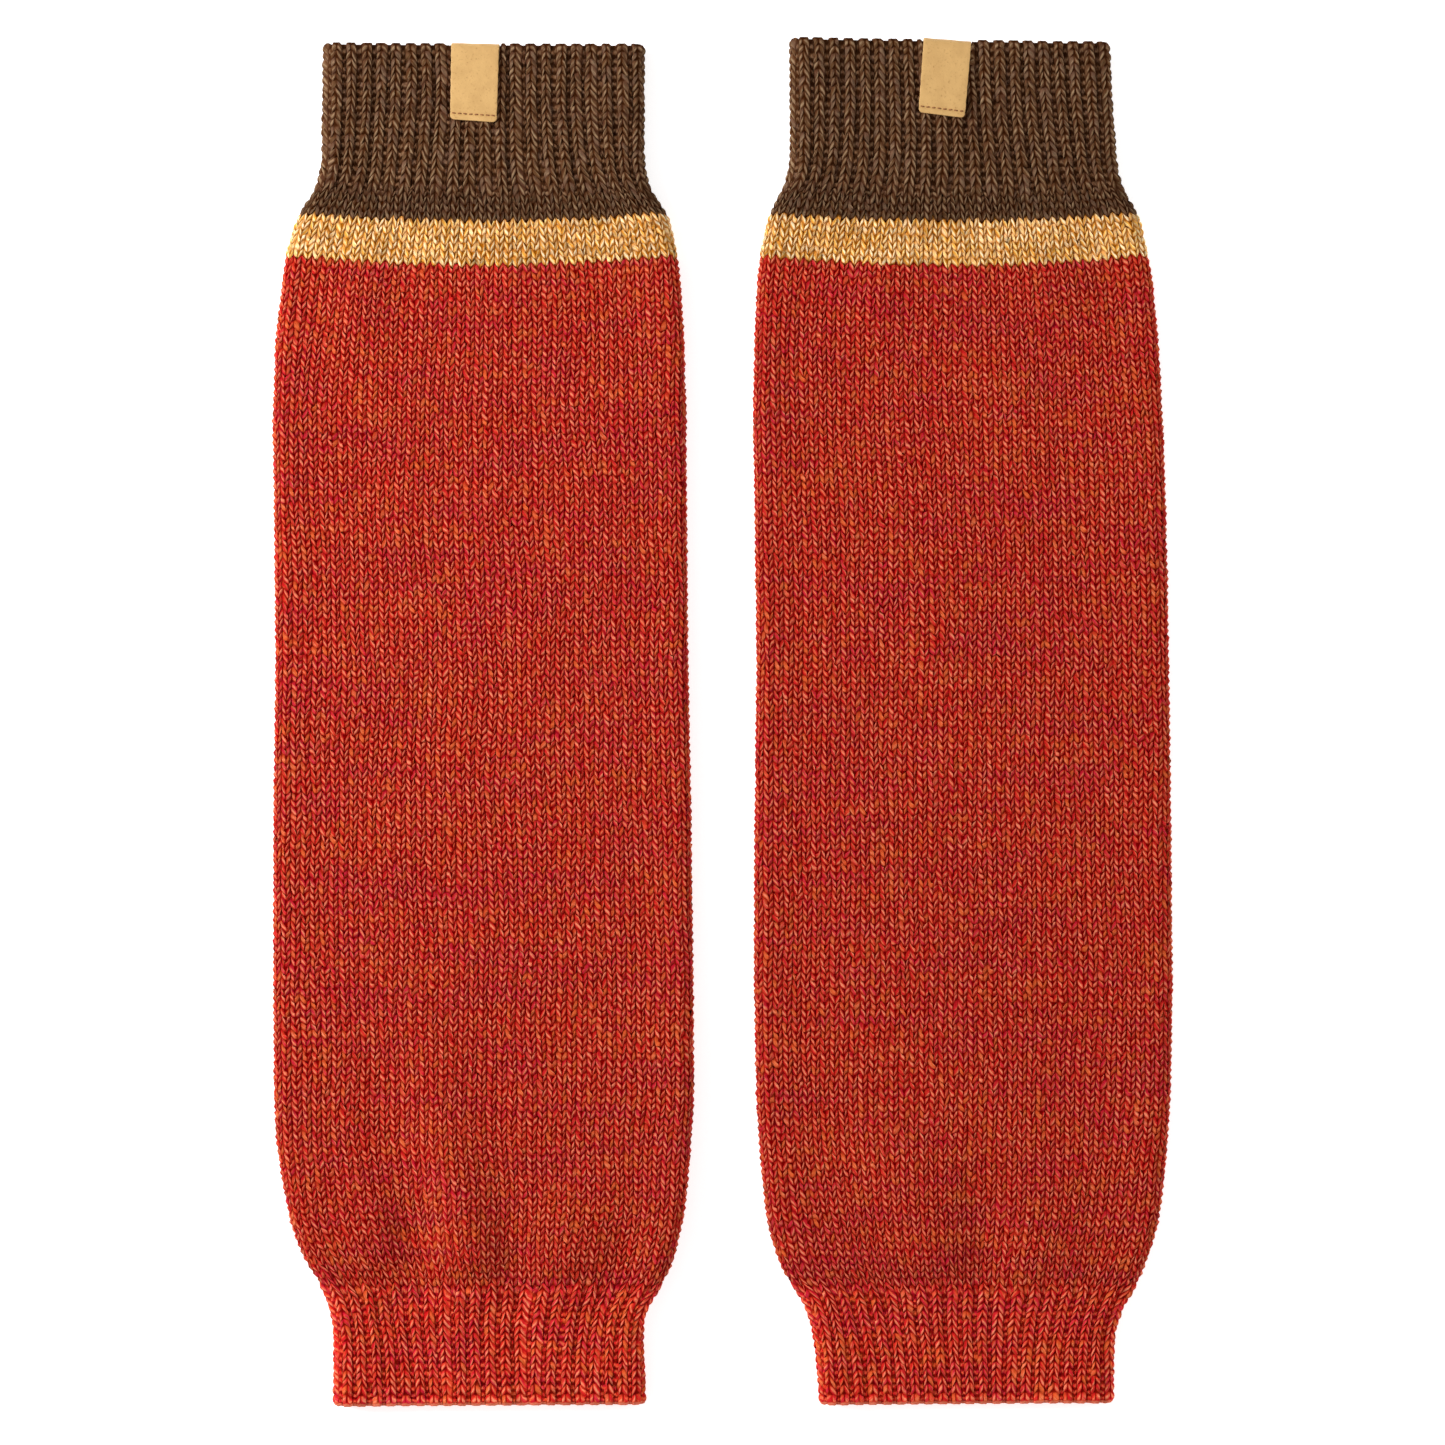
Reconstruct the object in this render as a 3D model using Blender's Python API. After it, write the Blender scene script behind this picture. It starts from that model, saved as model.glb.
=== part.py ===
"""A pair of knitted leg warmers, laid flat side by side on their backs.

Each one is a tube knitted in the round: a red ribbed ankle, a long red leg in plain
knitting, a golden stripe and a brown ribbed cuff, with a leather label folded over the
cuff's front edge. Metres, +Z up, +Y from the ankles to the cuffs, underside at z = 0.
"""
import math

import bmesh
import bpy
import numpy as np

MM = 0.001

# Driving dimensions of one tube, in millimetres
LENGTH = 426.0              # ankle end to the gutters of the cuff's rim
ANKLE_SEAM = 39.0           # where the ankle rib meets the leg
STRIPE_BOTTOM = 360.2       # where the leg meets the stripe
STRIPE_TOP = 372.7          # where the stripe meets the cuff
RIB_END = 380.5             # the cuff's rib ends here, plain rows lie below
SEAM_GAP = 0.3              # clear space between pieces that meet
LEG_WALL = 2.8              # one layer of plain knitting
RIB_WALL = 2.1              # one layer of rib, under the raised ribs
RIB_RISE = 1.0              # how far a rib stands out of its gutter
RIM_ROUND = 0.7             # how far the rim's edge is rounded off
RIB_SCALLOP = 0.6           # how far each rib's end bulges past the gutters at a rim
RIBS_ROUND = 44             # ribs all round the tube, in 1x1 rib
FOLD_SWELL = 1.3            # the tube is this much thicker along its two side folds
SWELL_WIDTH = 13.0          # and thins down over this width

# Label, in millimetres
LABEL_WIDTH = 15.8
LABEL_THICK = 0.9
LABEL_FRONT = 23.4          # from its fold down the front
LABEL_BACK = 15.0           # from its fold down inside the tube
LABEL_CLEAR = 0.3           # between the label and the cloth
LABEL_CORNER = 1.3          # radius of the two lower corners
LABEL_FOLD = 1.2            # how far its fold bulges upwards inside
LABEL_BELOW_RIM = 0.2       # its fold ends this far below the ribs' ends
RIM_DIP = 3.1               # the label presses the upper layer's rim down this far
RIM_DIP_MARGIN = 1.0        # and this far to either side of it

# Height above the ankle end, reach left and reach right of the tube's middle line (mm)
OUTLINE_COLUMNS = ("height", "left", "right")
LEFT_OUTLINE = (
    (0.0, 45.2, 50.8), (10.0, 45.2, 50.4), (21.0, 45.0, 49.7), (27.5, 45.6, 50.0),
    (33.8, 47.0, 52.5), (36.9, 48.3, 54.7), (40.0, 50.4, 57.0), (43.1, 52.7, 58.9),
    (49.4, 56.3, 60.9), (58.8, 59.5, 63.1), (71.3, 61.9, 64.7), (83.8, 63.8, 65.6),
    (96.3, 64.4, 66.5), (133.8, 64.8, 66.3), (183.8, 64.7, 65.6), (233.8, 64.1, 64.7),
    (283.8, 64.6, 64.2), (308.8, 65.0, 64.1), (333.8, 64.1, 63.4), (352.5, 61.9, 62.2),
    (358.8, 60.9, 61.4), (365.0, 59.6, 60.3), (371.3, 57.3, 58.8), (374.4, 55.9, 57.2),
    (377.5, 53.7, 55.0), (380.6, 51.4, 52.8), (383.8, 49.7, 51.0), (390.0, 48.7, 50.1),
    (430.0, 48.4, 50.3),
)
RIGHT_OUTLINE = (
    (0.0, 43.6, 46.5), (15.0, 44.7, 46.6), (21.0, 45.3, 46.7), (27.5, 46.7, 47.9),
    (33.8, 49.1, 50.5), (36.9, 50.8, 52.4), (40.0, 54.2, 54.9), (43.1, 55.9, 56.3),
    (49.4, 58.4, 58.6), (58.8, 60.9, 61.4), (71.3, 62.3, 62.9), (83.8, 63.4, 64.1),
    (96.3, 64.1, 65.0), (133.8, 64.9, 65.7), (183.8, 64.7, 65.2), (233.8, 64.1, 64.6),
    (283.8, 64.7, 63.6), (308.8, 65.2, 62.7), (333.8, 64.7, 61.2), (352.5, 63.8, 59.5),
    (358.8, 63.1, 58.3), (365.0, 62.1, 56.8), (371.3, 60.5, 55.5), (374.4, 59.3, 54.0),
    (377.5, 57.9, 52.3), (380.6, 55.8, 50.1), (383.8, 53.6, 48.3), (390.0, 52.8, 47.4),
    (408.0, 52.8, 46.2), (430.0, 52.9, 45.0),
)

# Height above the ankle end, thickness of the flat tube's middle, and how far its rows
# of stitches sag at the middle line below their ends at the side folds (mm)
BODY_COLUMNS = ("height", "thick", "sag")
BODY = (
    (0.0, 6.2, 0.0), (20.0, 6.4, 0.0), (34.0, 7.4, 0.0), (39.0, 8.2, 0.0),
    (46.0, 8.6, 0.0), (60.0, 8.2, 0.0), (90.0, 6.8, 0.0), (150.0, 5.9, 0.0),
    (250.0, 5.8, 0.0), (290.0, 5.8, 0.6), (330.0, 6.0, 2.0), (360.0, 6.5, 2.8),
    (373.0, 6.7, 1.9), (383.0, 6.8, 1.2), (396.0, 6.7, 0.3), (410.0, 6.6, 0.0),
    (430.0, 6.6, 0.0),
)

# Soft folds in the upper layer: each runs from a foot at one seam to a tip, both as
# (across, height), with its half width and rise at the foot (mm). A minus rise is a dip.
FOLD_COLUMNS = ("foot_across", "foot_height", "tip_across", "tip_height", "half_width", "rise")
LEFT_FOLDS = (
    (-2.0, 39.0, -25.0, 128.0, 9.5, 2.6),
    (12.0, 39.0, 2.0, 106.0, 7.0, -2.0),
    (-17.5, 39.0, -30.0, 82.0, 6.5, -1.7),
    (-33.0, 39.0, -41.0, 76.0, 8.0, 1.5),
    (27.0, 39.0, 22.0, 84.0, 7.5, 1.8),
    (41.0, 39.0, 46.0, 72.0, 6.0, -1.1),
    (-35.0, 360.0, -38.0, 316.0, 9.0, 1.5),
    (9.5, 360.0, 8.0, 318.0, 10.0, 1.3),
)
RIGHT_FOLDS = (
    (-8.0, 39.0, -22.0, 106.0, 11.5, 2.2),
    (8.0, 39.0, 3.0, 92.0, 6.0, -1.8),
    (23.0, 39.0, 25.0, 80.0, 9.0, 1.7),
    (-36.0, 39.0, -42.0, 72.0, 8.0, 1.0),
    (-26.5, 360.0, -24.0, 318.0, 9.5, 1.3),
    (27.0, 360.0, 30.0, 314.0, 12.0, 1.5),
)

# One row for each leg warmer. The cuff's rim is higher by rim_rise, and by rim_tilt times
# the distance to the right, and so is the ankle's by its own two numbers. The label leans by
# so many degrees, its foot to the left.
WARMERS = (
    dict(side="left", middle=-75.6, outline=LEFT_OUTLINE, folds=LEFT_FOLDS,
         rim_rise=-0.3, rim_tilt=-0.004, ankle_rise=0.7, ankle_tilt=0.007,
         label_across=-1.5, label_lean=0.8),
    dict(side="right", middle=74.7, outline=RIGHT_OUTLINE, folds=RIGHT_FOLDS,
         rim_rise=0.85, rim_tilt=-0.015, ankle_rise=1.2, ankle_tilt=0.008,
         label_across=-4.7, label_lean=3.6),
)

# Where each piece's rings stand, in mm above the ankle end
LEG_RINGS = (42.0, 46.0, 51.0, 57.0, 64.0, 72.0, 82.0, 94.0, 110.0, 140.0, 190.0, 240.0,
             285.0, 310.0, 330.0, 344.0, 352.0)
CUFF_RINGS = (375.5, 378.5, 381.5, 386.0, 404.0)
ANKLE_RINGS = (35.5, 29.0, 16.0)

# Stations round a ring: points on the top, on each quarter of a side fold, underneath
PLAIN_TOP, PLAIN_QUARTER, PLAIN_UNDER = 34, 4, 12
INNER_TOP, INNER_QUARTER, INNER_UNDER = 20, 3, 8

# Linear colour, roughness of each yarn and of the leather
MATERIALS = {
    "brown_rib": ((0.098, 0.045, 0.022), 0.92),
    "stripe_yarn": ((0.65, 0.33, 0.10), 0.9),
    "leg_yarn": ((0.42, 0.030, 0.018), 0.92),
    "label_leather": ((0.78, 0.48, 0.19), 0.6),
}


def along(rows, column, height):
    """A column of a table at any height, softened over a few millimetres."""
    heights = [row[0] for row in rows]
    values = [row[column] for row in rows]
    nearby = np.linspace(-2.5, 2.5, 5)
    return np.mean([np.interp(height + step, heights, values) for step in nearby], axis=0)


def fold_rise(folds, across, height):
    """Height that the soft folds add to the upper layer."""
    total = np.zeros(np.shape(across))
    for foot_x, foot_y, tip_x, tip_y, half_width, rise in folds:
        run = (height - foot_y) / (tip_y - foot_y)
        inside = np.clip(run, 0.0, 1.0)
        ridge = foot_x + (tip_x - foot_x) * inside
        fade = 0.5 + 0.5 * np.cos(math.pi * inside)
        into_rib = np.exp(-(np.minimum(run, 0.0) * (tip_y - foot_y) / 5.0) ** 2)
        spread = (across - ridge) / half_width
        total = total + rise * fade * into_rib * np.exp(-spread ** 2)
    return total


def skin(warmer, quarter_turns, level, inset=0.0):
    """Points of a layer of the flat tube, inset from its outside, and each one's upness.

    quarter_turns runs clockwise seen from the ankle: 0 to 1 and 2 to 3 are the upper
    quarters of the left and right side folds, 1 to 2 the top, 3 to 4 and 5 to 6 the lower
    quarters, and 4 to 5 the flat underside.
    """
    place = np.asarray(quarter_turns, dtype=float)
    outline = warmer["outline"]
    thick = along(BODY, 1, level)
    radius = 0.5 * (thick + FOLD_SWELL)
    turn = np.clip(place, 0.0, 1.0) + np.clip(place - 2.0, 0.0, 2.0) + np.clip(place - 5.0, 0.0, 1.0)
    bend = turn * 0.5 * math.pi
    middle_share = np.clip(place - 1.0, 0.0, 1.0) - np.clip(place - 4.0, 0.0, 1.0)
    lateral = 2.0 * middle_share - 1.0

    sag = along(BODY, 2, level)
    height = level - sag + sag * lateral ** 2
    left = -along(outline, 1, height)
    right = along(outline, 2, height)
    from_x = left + radius
    to_x = right - radius
    centre_x = from_x + (to_x - from_x) * middle_share
    reach = radius - inset
    across = centre_x - reach * np.cos(bend)
    up = radius + reach * np.sin(bend)

    above = np.clip((up - radius) / reach, 0.0, 1.0)
    edge = np.minimum(across - left, right - across) - radius
    settle = np.clip(edge / SWELL_WIDTH, 0.0, 1.0)
    settle = settle * settle * (3.0 - 2.0 * settle)
    up = up - above * FOLD_SWELL * settle
    up = up + above * fold_rise(warmer["folds"], across, height)

    near_rim = np.clip((level - RIB_END) / (LENGTH - RIB_END), 0.0, 1.0)
    height = height + near_rim * (warmer["rim_rise"] + warmer["rim_tilt"] * across)
    near_ankle = np.clip(1.0 - level / ANKLE_SEAM, 0.0, 1.0)
    height = height + near_ankle * (warmer["ankle_rise"] + warmer["ankle_tilt"] * across)
    off_label = np.abs(across - warmer["label_across"]) - 0.5 * LABEL_WIDTH - RIM_DIP_MARGIN
    pressed = np.clip(1.0 - off_label / RIM_DIP_MARGIN, 0.0, 1.0)
    height = height - near_rim ** 4 * RIM_DIP * pressed * above
    return np.stack([across, height, up], axis=-1), above


def plain_stations(top, quarter, under):
    """Places round a ring, in quarter turns, with no two the same."""
    counts = (quarter, top, quarter, quarter, under, quarter)
    return np.concatenate([start + np.arange(n) / n for start, n in enumerate(counts)])


def rib_stations(warmer, level):
    """Places round a ribbed ring, and how far each stands out of the gutters.

    Every rib has a gutter point and the two corners of its crest. Half of the ribs lie on
    the upper half, one more stands under each side fold, and the underside is plain.
    """
    left = float(along(warmer["outline"], 1, level))
    right = float(along(warmer["outline"], 2, level))
    radius = 0.5 * (float(along(BODY, 1, level)) + FOLD_SWELL)
    quarter = 0.5 * math.pi * radius
    top = left + right - 2.0 * radius
    pitch = (top + 2.0 * quarter) / (RIBS_ROUND / 2)
    places, crests = [], []
    for rib in range(-1, RIBS_ROUND // 2 + 1):
        for share, crest in ((0.0, 0.0), (0.27, 1.0), (0.73, 1.0)):
            run = (rib + share) * pitch
            if run < quarter:
                place = run / quarter
            elif run < quarter + top:
                place = 1.0 + (run - quarter) / top
            else:
                place = 2.0 + (run - quarter - top) / quarter
            places.append(place % 6.0)
            crests.append(crest)
    low_right = max(place for place in places if 2.0 < place < 4.0)
    low_left = min(place for place in places if place > 5.0)
    for place in (low_right + 0.5 * (4.0 - low_right), *(4.0 + np.arange(9) / 8.0),
                  low_left - 0.5 * (low_left - 5.0)):
        places.append(place)
        crests.append(0.0)
    order = np.argsort(places)
    return np.array(places)[order], np.array(crests)[order]


def plain_ring(warmer, level, inset, counts, gap_shift=0.0):
    points, _ = skin(warmer, plain_stations(*counts), level, inset)
    points[:, 1] += gap_shift
    return points


def ribbed_ring(warmer, level, rise, inset=0.0, scallop=0.0, gap_shift=0.0):
    places, crests = rib_stations(warmer, level)
    points, above = skin(warmer, places, level, inset)
    lean = np.minimum(above * 3.0, 1.0)
    outward, _ = skin(warmer, places, level, inset - 1.0)
    points = points + (outward - points) * (crests * rise * lean)[:, None]
    points[:, 1] += scallop * crests * lean + gap_shift
    return points


def loft(rows, flip):
    """Vertex rows to faces: a band of quads between each ring and the next."""
    faces = []
    for low, high in zip(rows, rows[1:]):
        for i in range(len(low)):
            j = (i + 1) % len(low)
            quad = (low[i], low[j], high[j], high[i])
            faces.append(quad[::-1] if flip else quad)
    return faces


def zipper(bm, outer, inner, flip):
    """Triangles that close the wall between an outer and an inner ring of one end."""
    def shares(ring):
        steps = [(ring[(i + 1) % len(ring)].co - ring[i].co).length for i in range(len(ring))]
        return np.concatenate([[0.0], np.cumsum(steps)]) / sum(steps)

    out_share, in_share = shares(outer), shares(inner)
    i = j = 0
    while i < len(outer) or j < len(inner):
        a, b = outer[i % len(outer)], inner[j % len(inner)]
        if j == len(inner) or (i < len(outer) and out_share[i + 1] <= in_share[j + 1]):
            face = (a, outer[(i + 1) % len(outer)], b)
            i += 1
        else:
            face = (a, inner[(j + 1) % len(inner)], b)
            j += 1
        bm.faces.new(face[::-1] if flip else face)


def start_at_left(ring):
    """Turn a ring round so that it starts at its leftmost point."""
    first = int(np.argmin(ring[:, 0]))
    return np.roll(ring, -first, axis=0)


def tube_mesh(name, outer_rings, inner_rings):
    """A closed tube wall from rings that run from the ankle side to the cuff side."""
    bm = bmesh.new()
    skins = []
    for rings, flip in ((outer_rings, False), (inner_rings, True)):
        rows = [[bm.verts.new(p * MM) for p in start_at_left(ring)] for ring in rings]
        for quad in loft(rows, flip):
            bm.faces.new(quad)
        skins.append(rows)
    zipper(bm, skins[0][0], skins[1][0], flip=True)
    zipper(bm, skins[0][-1], skins[1][-1], flip=False)
    bmesh.ops.triangulate(bm, faces=bm.faces[:])
    bmesh.ops.recalc_face_normals(bm, faces=bm.faces[:])
    mesh = bpy.data.meshes.new(name)
    bm.to_mesh(mesh)
    bm.free()
    return mesh


def leg_mesh(name, warmer):
    outer_counts = (PLAIN_TOP, PLAIN_QUARTER, PLAIN_UNDER)
    inner_counts = (INNER_TOP, INNER_QUARTER, INNER_UNDER)
    half = 0.5 * SEAM_GAP
    levels = (ANKLE_SEAM, *LEG_RINGS, STRIPE_BOTTOM)
    shifts = (half, *[0.0] * len(LEG_RINGS), -half)
    outer = [plain_ring(warmer, h, 0.0, outer_counts, s) for h, s in zip(levels, shifts)]
    inner_at = [i for i in range(len(levels)) if i % 2 == 0]
    inner = [plain_ring(warmer, levels[i], LEG_WALL, inner_counts, shifts[i]) for i in inner_at]
    return tube_mesh(name, outer, inner)


def stripe_mesh(name, warmer):
    half = 0.5 * SEAM_GAP
    ends = ((STRIPE_BOTTOM, half), (0.5 * (STRIPE_BOTTOM + STRIPE_TOP), 0.0), (STRIPE_TOP, -half))
    outer = [plain_ring(warmer, h, 0.0, (PLAIN_TOP, PLAIN_QUARTER, PLAIN_UNDER), s) for h, s in ends]
    inner = [plain_ring(warmer, h, LEG_WALL, (INNER_TOP, INNER_QUARTER, INNER_UNDER), s)
             for h, s in ends]
    return tube_mesh(name, outer, inner)


def ribbed_mesh(name, warmer, seam, rings, rim, into):
    """A ribbed end of the tube, from its plain seam to its scalloped rim.

    into is +1 where the rim is the higher end and -1 where it is the lower one.
    """
    shift = 0.5 * SEAM_GAP * into
    outer = [ribbed_ring(warmer, seam, 0.0, gap_shift=shift)]
    for k, level in enumerate(rings):
        rise = RIB_RISE if (into < 0 or level >= RIB_END) else 0.0
        rise = 0.55 * RIB_RISE if k == 0 and into < 0 else rise
        outer.append(ribbed_ring(warmer, level, rise))
    bulge = RIB_SCALLOP * into
    outer.append(ribbed_ring(warmer, rim - 1.5 * into, RIB_RISE, scallop=bulge))
    outer.append(ribbed_ring(warmer, rim, 0.6 * RIB_RISE, RIM_ROUND, scallop=bulge))
    counts = (INNER_TOP, INNER_QUARTER, INNER_UNDER)
    middle = 0.5 * (seam + rim)
    inner = [plain_ring(warmer, seam, RIB_WALL, counts, shift),
             plain_ring(warmer, middle, RIB_WALL, counts),
             plain_ring(warmer, rim, RIB_WALL - 0.3, counts)]
    if into < 0:
        outer.reverse()
        inner.reverse()
    return tube_mesh(name, outer, inner)


def rim_height(warmer):
    """Height of the cuff's rim where the label is."""
    return LENGTH + warmer["rim_rise"] + warmer["rim_tilt"] * warmer["label_across"]


def label_mesh(name, warmer):
    """A leather strip folded over the cuff's front edge: long leaf outside, short inside.

    Its y = 0 is the top of its fold.
    """
    thick = float(along(BODY, 1, LENGTH))
    front_z = thick + RIB_RISE + LABEL_CLEAR
    back_z = thick - RIB_WALL - LABEL_CLEAR
    half_gap = 0.5 * (front_z - back_z)
    middle_z = 0.5 * (front_z + back_z)
    fold_y = -LABEL_THICK - LABEL_FOLD
    path = [(s - LABEL_FRONT, front_z, 0.0, s)
            for s in LABEL_CORNER * (1.0 - np.cos(np.linspace(0.0, 0.5 * math.pi, 6)))]
    for angle in np.linspace(0.0, math.pi, 11):
        path.append((fold_y + LABEL_FOLD * math.sin(angle), middle_z + half_gap * math.cos(angle),
                     angle, LABEL_FRONT))
    path.append((-LABEL_BACK, back_z, math.pi, LABEL_FRONT))

    bm = bmesh.new()
    rows = []
    for y, z, angle, run in path:
        cut = max(LABEL_CORNER - run, 0.0)
        narrow = LABEL_CORNER - math.sqrt(LABEL_CORNER ** 2 - cut ** 2)
        half = 0.5 * LABEL_WIDTH - narrow
        out_y, out_z = LABEL_THICK * math.sin(angle), LABEL_THICK * math.cos(angle)
        corners = ((-half, y, z), (half, y, z), (half, y + out_y, z + out_z),
                   (-half, y + out_y, z + out_z))
        rows.append([bm.verts.new([MM * value for value in corner]) for corner in corners])
    for quad in loft(rows, flip=False):
        bm.faces.new(quad)
    bm.faces.new(rows[0][::-1])
    bm.faces.new(rows[-1])
    bmesh.ops.recalc_face_normals(bm, faces=bm.faces[:])
    mesh = bpy.data.meshes.new(name)
    bm.to_mesh(mesh)
    bm.free()
    return mesh


def make_materials():
    made = {}
    for name, (colour, roughness) in MATERIALS.items():
        material = bpy.data.materials.new(name)
        material.use_nodes = True
        shader = material.node_tree.nodes["Principled BSDF"]
        shader.inputs["Base Color"].default_value = (*colour, 1.0)
        shader.inputs["Roughness"].default_value = roughness
        shader.inputs["Metallic"].default_value = 0.0
        material.diffuse_color = (*colour, 1.0)
        made[name] = material
    return made


def add_piece(collection, parent, mesh, material):
    mesh.materials.append(material)
    mesh.shade_smooth()
    mesh.set_sharp_from_angle(angle=math.radians(50))
    piece = bpy.data.objects.new(mesh.name, mesh)
    piece.parent = parent
    collection.objects.link(piece)
    return piece


def centre_footprint(frames):
    """Move both tubes together until their shared footprint is centred on the origin."""
    bpy.context.view_layer.update()
    corners = [piece.matrix_world @ vertex.co for frame in frames for piece in frame.children
               for vertex in piece.data.vertices]
    for axis in (0, 1):
        reach = [corner[axis] for corner in corners]
        for frame in frames:
            frame.location[axis] -= 0.5 * (min(reach) + max(reach))
    bpy.context.view_layer.update()


def build():
    for old in list(bpy.data.objects):
        bpy.data.objects.remove(old, do_unlink=True)
    collection = bpy.data.collections.new("leg_warmers")
    bpy.context.scene.collection.children.link(collection)
    materials = make_materials()
    frames = []
    for warmer in WARMERS:
        side = warmer["side"]
        frame = bpy.data.objects.new(side + "_warmer", None)
        frame.location.x = warmer["middle"] * MM
        collection.objects.link(frame)
        frames.append(frame)

        cuff = ribbed_mesh(side + "_cuff", warmer, STRIPE_TOP, CUFF_RINGS, LENGTH, into=1)
        add_piece(collection, frame, cuff, materials["brown_rib"])
        stripe = stripe_mesh(side + "_stripe", warmer)
        add_piece(collection, frame, stripe, materials["stripe_yarn"])
        leg = leg_mesh(side + "_leg", warmer)
        add_piece(collection, frame, leg, materials["leg_yarn"])
        ankle = ribbed_mesh(side + "_ankle", warmer, ANKLE_SEAM, ANKLE_RINGS, 0.6, into=-1)
        add_piece(collection, frame, ankle, materials["leg_yarn"])
        label = add_piece(collection, frame, label_mesh(side + "_label", warmer),
                          materials["label_leather"])
        top = rim_height(warmer) + RIB_SCALLOP - LABEL_BELOW_RIM
        label.location = (warmer["label_across"] * MM, top * MM, 0.0)
        label.rotation_euler.z = -math.radians(warmer["label_lean"])
    centre_footprint(frames)


build()
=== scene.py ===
"""Looks of a pair of knitted leg warmers, laid flat side by side.

The knitting is modelled stitch by stitch: every piece is a sheet whose rows and columns of
vertices follow the legs of the V-shaped stitches, over the same flat-tube form as the solids.
"""
import math
from collections import namedtuple
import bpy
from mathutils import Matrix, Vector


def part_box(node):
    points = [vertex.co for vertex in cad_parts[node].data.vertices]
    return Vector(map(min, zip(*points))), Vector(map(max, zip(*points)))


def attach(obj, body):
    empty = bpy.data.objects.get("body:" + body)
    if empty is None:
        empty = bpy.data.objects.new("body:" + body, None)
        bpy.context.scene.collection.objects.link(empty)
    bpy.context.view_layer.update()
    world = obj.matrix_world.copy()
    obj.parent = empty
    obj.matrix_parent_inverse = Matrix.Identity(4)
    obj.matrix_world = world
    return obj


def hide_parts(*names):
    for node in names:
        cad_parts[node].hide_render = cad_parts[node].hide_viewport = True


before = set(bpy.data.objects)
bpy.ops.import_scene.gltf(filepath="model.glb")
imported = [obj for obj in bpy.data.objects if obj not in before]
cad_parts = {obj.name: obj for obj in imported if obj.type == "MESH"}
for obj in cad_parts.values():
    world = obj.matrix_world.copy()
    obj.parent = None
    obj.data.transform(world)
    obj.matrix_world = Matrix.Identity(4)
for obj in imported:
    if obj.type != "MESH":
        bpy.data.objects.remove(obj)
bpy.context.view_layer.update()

from types import SimpleNamespace

import bmesh
import bpy
import numpy as np
from mathutils import Matrix, Vector

MM = 0.001
SEED = 20

# One tube, in millimetres above its ankle end
LENGTH = 426.0
ANKLE_RIM = 0.6
ANKLE_SEAM = 39.0
STRIPE_BOTTOM = 360.2
STRIPE_TOP = 372.7
RIB_END = 380.5  # plain rows of the cuff lie below
SEAM_GAP = 0.3
LEG_WALL = 2.8
RIB_WALL = 2.1  # under the raised ribs
RIB_RISE = 1.0
RIB_SCALLOP = 0.6  # how far ribs bulge past gutters at a rim
RIM_BULGE = 0.9  # the rims round over by this much
FOLD_SWELL = 1.3  # the tube's sides are this much thicker
SWELL_WIDTH = 13.0
SWELL_SOFTEN = 0.5  # share of the swell that the soft cloth loses at the folds
OUTLINE_SOFTEN = 2.5  # the tables are softened over this far up and down
SPREAD_REACH = 24.0  # wales keep their course past narrow places shorter than this
SPREAD_LIMITS = (0.85, 1.15)

# The surface of the cloth, in millimetres
FOLD_GAIN = 1.3  # its folds stand out more than the solids'
FOLD_START = 9.0  # they grow over this far from the ribs
FOLD_AT_RIB = 0.25  # from this share of their rise
FOLD_INTO_RIB = 5.0  # and fade within the rib over this far
SURFACE_WAVES = (0.22, 18.0, 60.0)  # rise, shortest and longest wave
FLOOR_CLEAR = 0.02  # the lowest yarn stands this far off the floor
RELIEF_FROM, RELIEF_OVER = 0.9, 1.6  # above the floor, where the yarn starts to stand out
SEAM_CREASE = 0.15  # the leg's first row lies this much lower

# Label, in millimetres
LABEL_WIDTH = 15.8
LABEL_SHOWN = 14.9  # the strip's own width
LABEL_TAPER = 0.4  # narrower at its foot
LABEL_SLANT = 0.045  # how much its foot slopes off square
LABEL_WAVER = 0.05  # of its sides
LABEL_THICK = 0.9
LABEL_FRONT = 23.4
LABEL_BACK = 15.0
LABEL_CLEAR = 0.3
LABEL_CORNER = 1.3
LABEL_FOLD = 1.2
LABEL_BELOW_RIM = 0.4
RIM_DIP = 3.1  # the label presses the upper layer's rim down this far
RIM_DIP_MARGIN = 1.0  # and this far to either side of it
EDGE_ROUND = 0.22
GROOVE_DEPTH = 0.34  # of the line of stitches
GROOVE_WIDTH = 0.42
PUFF_RISE = 0.10  # the strip stands up below that line
PUFF_WIDTH = 0.7
STITCH_LINE = 1.9  # above the label's foot
STITCHES = 8
STITCH_LONG = 0.80  # how much of a stitch's step its thread covers
STITCH_MARGIN = 0.5  # kept free at the line's two ends, together
THREAD_THICK = 0.42
THREAD_SINK = 0.30  # how deep a stitch's ends dip
THREAD_RINGS = 9
THREAD_SIDES = 8

# Knitting: stitches all round, and the rows of stitches at each seam, counted from the ankle
WALES = 88
HALF_WALES = WALES // 2
WALE_WIDE = 3.0  # mm, about
STRIPE_LOWER = 0.8  # mm that the stripe's first row starts below its seam
ROW_NUMBERS = (0, 16, 158, 164, 186)
ROW_LEVELS = (ANKLE_RIM + RIM_BULGE, ANKLE_SEAM, STRIPE_BOTTOM - STRIPE_LOWER, STRIPE_TOP,
              LENGTH - RIM_BULGE)
ANKLE_ROWS, LEG_ROWS, STRIPE_ROWS, CUFF_ROWS = zip(ROW_NUMBERS, ROW_NUMBERS[1:])
TOP_ROW = ROW_NUMBERS[-1]
MIDDLE_ROW = TOP_ROW / 2  # rib above it is the cuff's
RIB_TOP_OF_ANKLE = 16.5
RIB_FOOT_OF_CUFF = 166.3
END_EASE = 1.6  # rows over which the stitches' slant dies out at a rim
CUFF_BULGE, ANKLE_BULGE = (-0.5, 1.0), (0.2, 0.7)  # of purl and knit ribs, shares of RIB_SCALLOP

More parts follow.
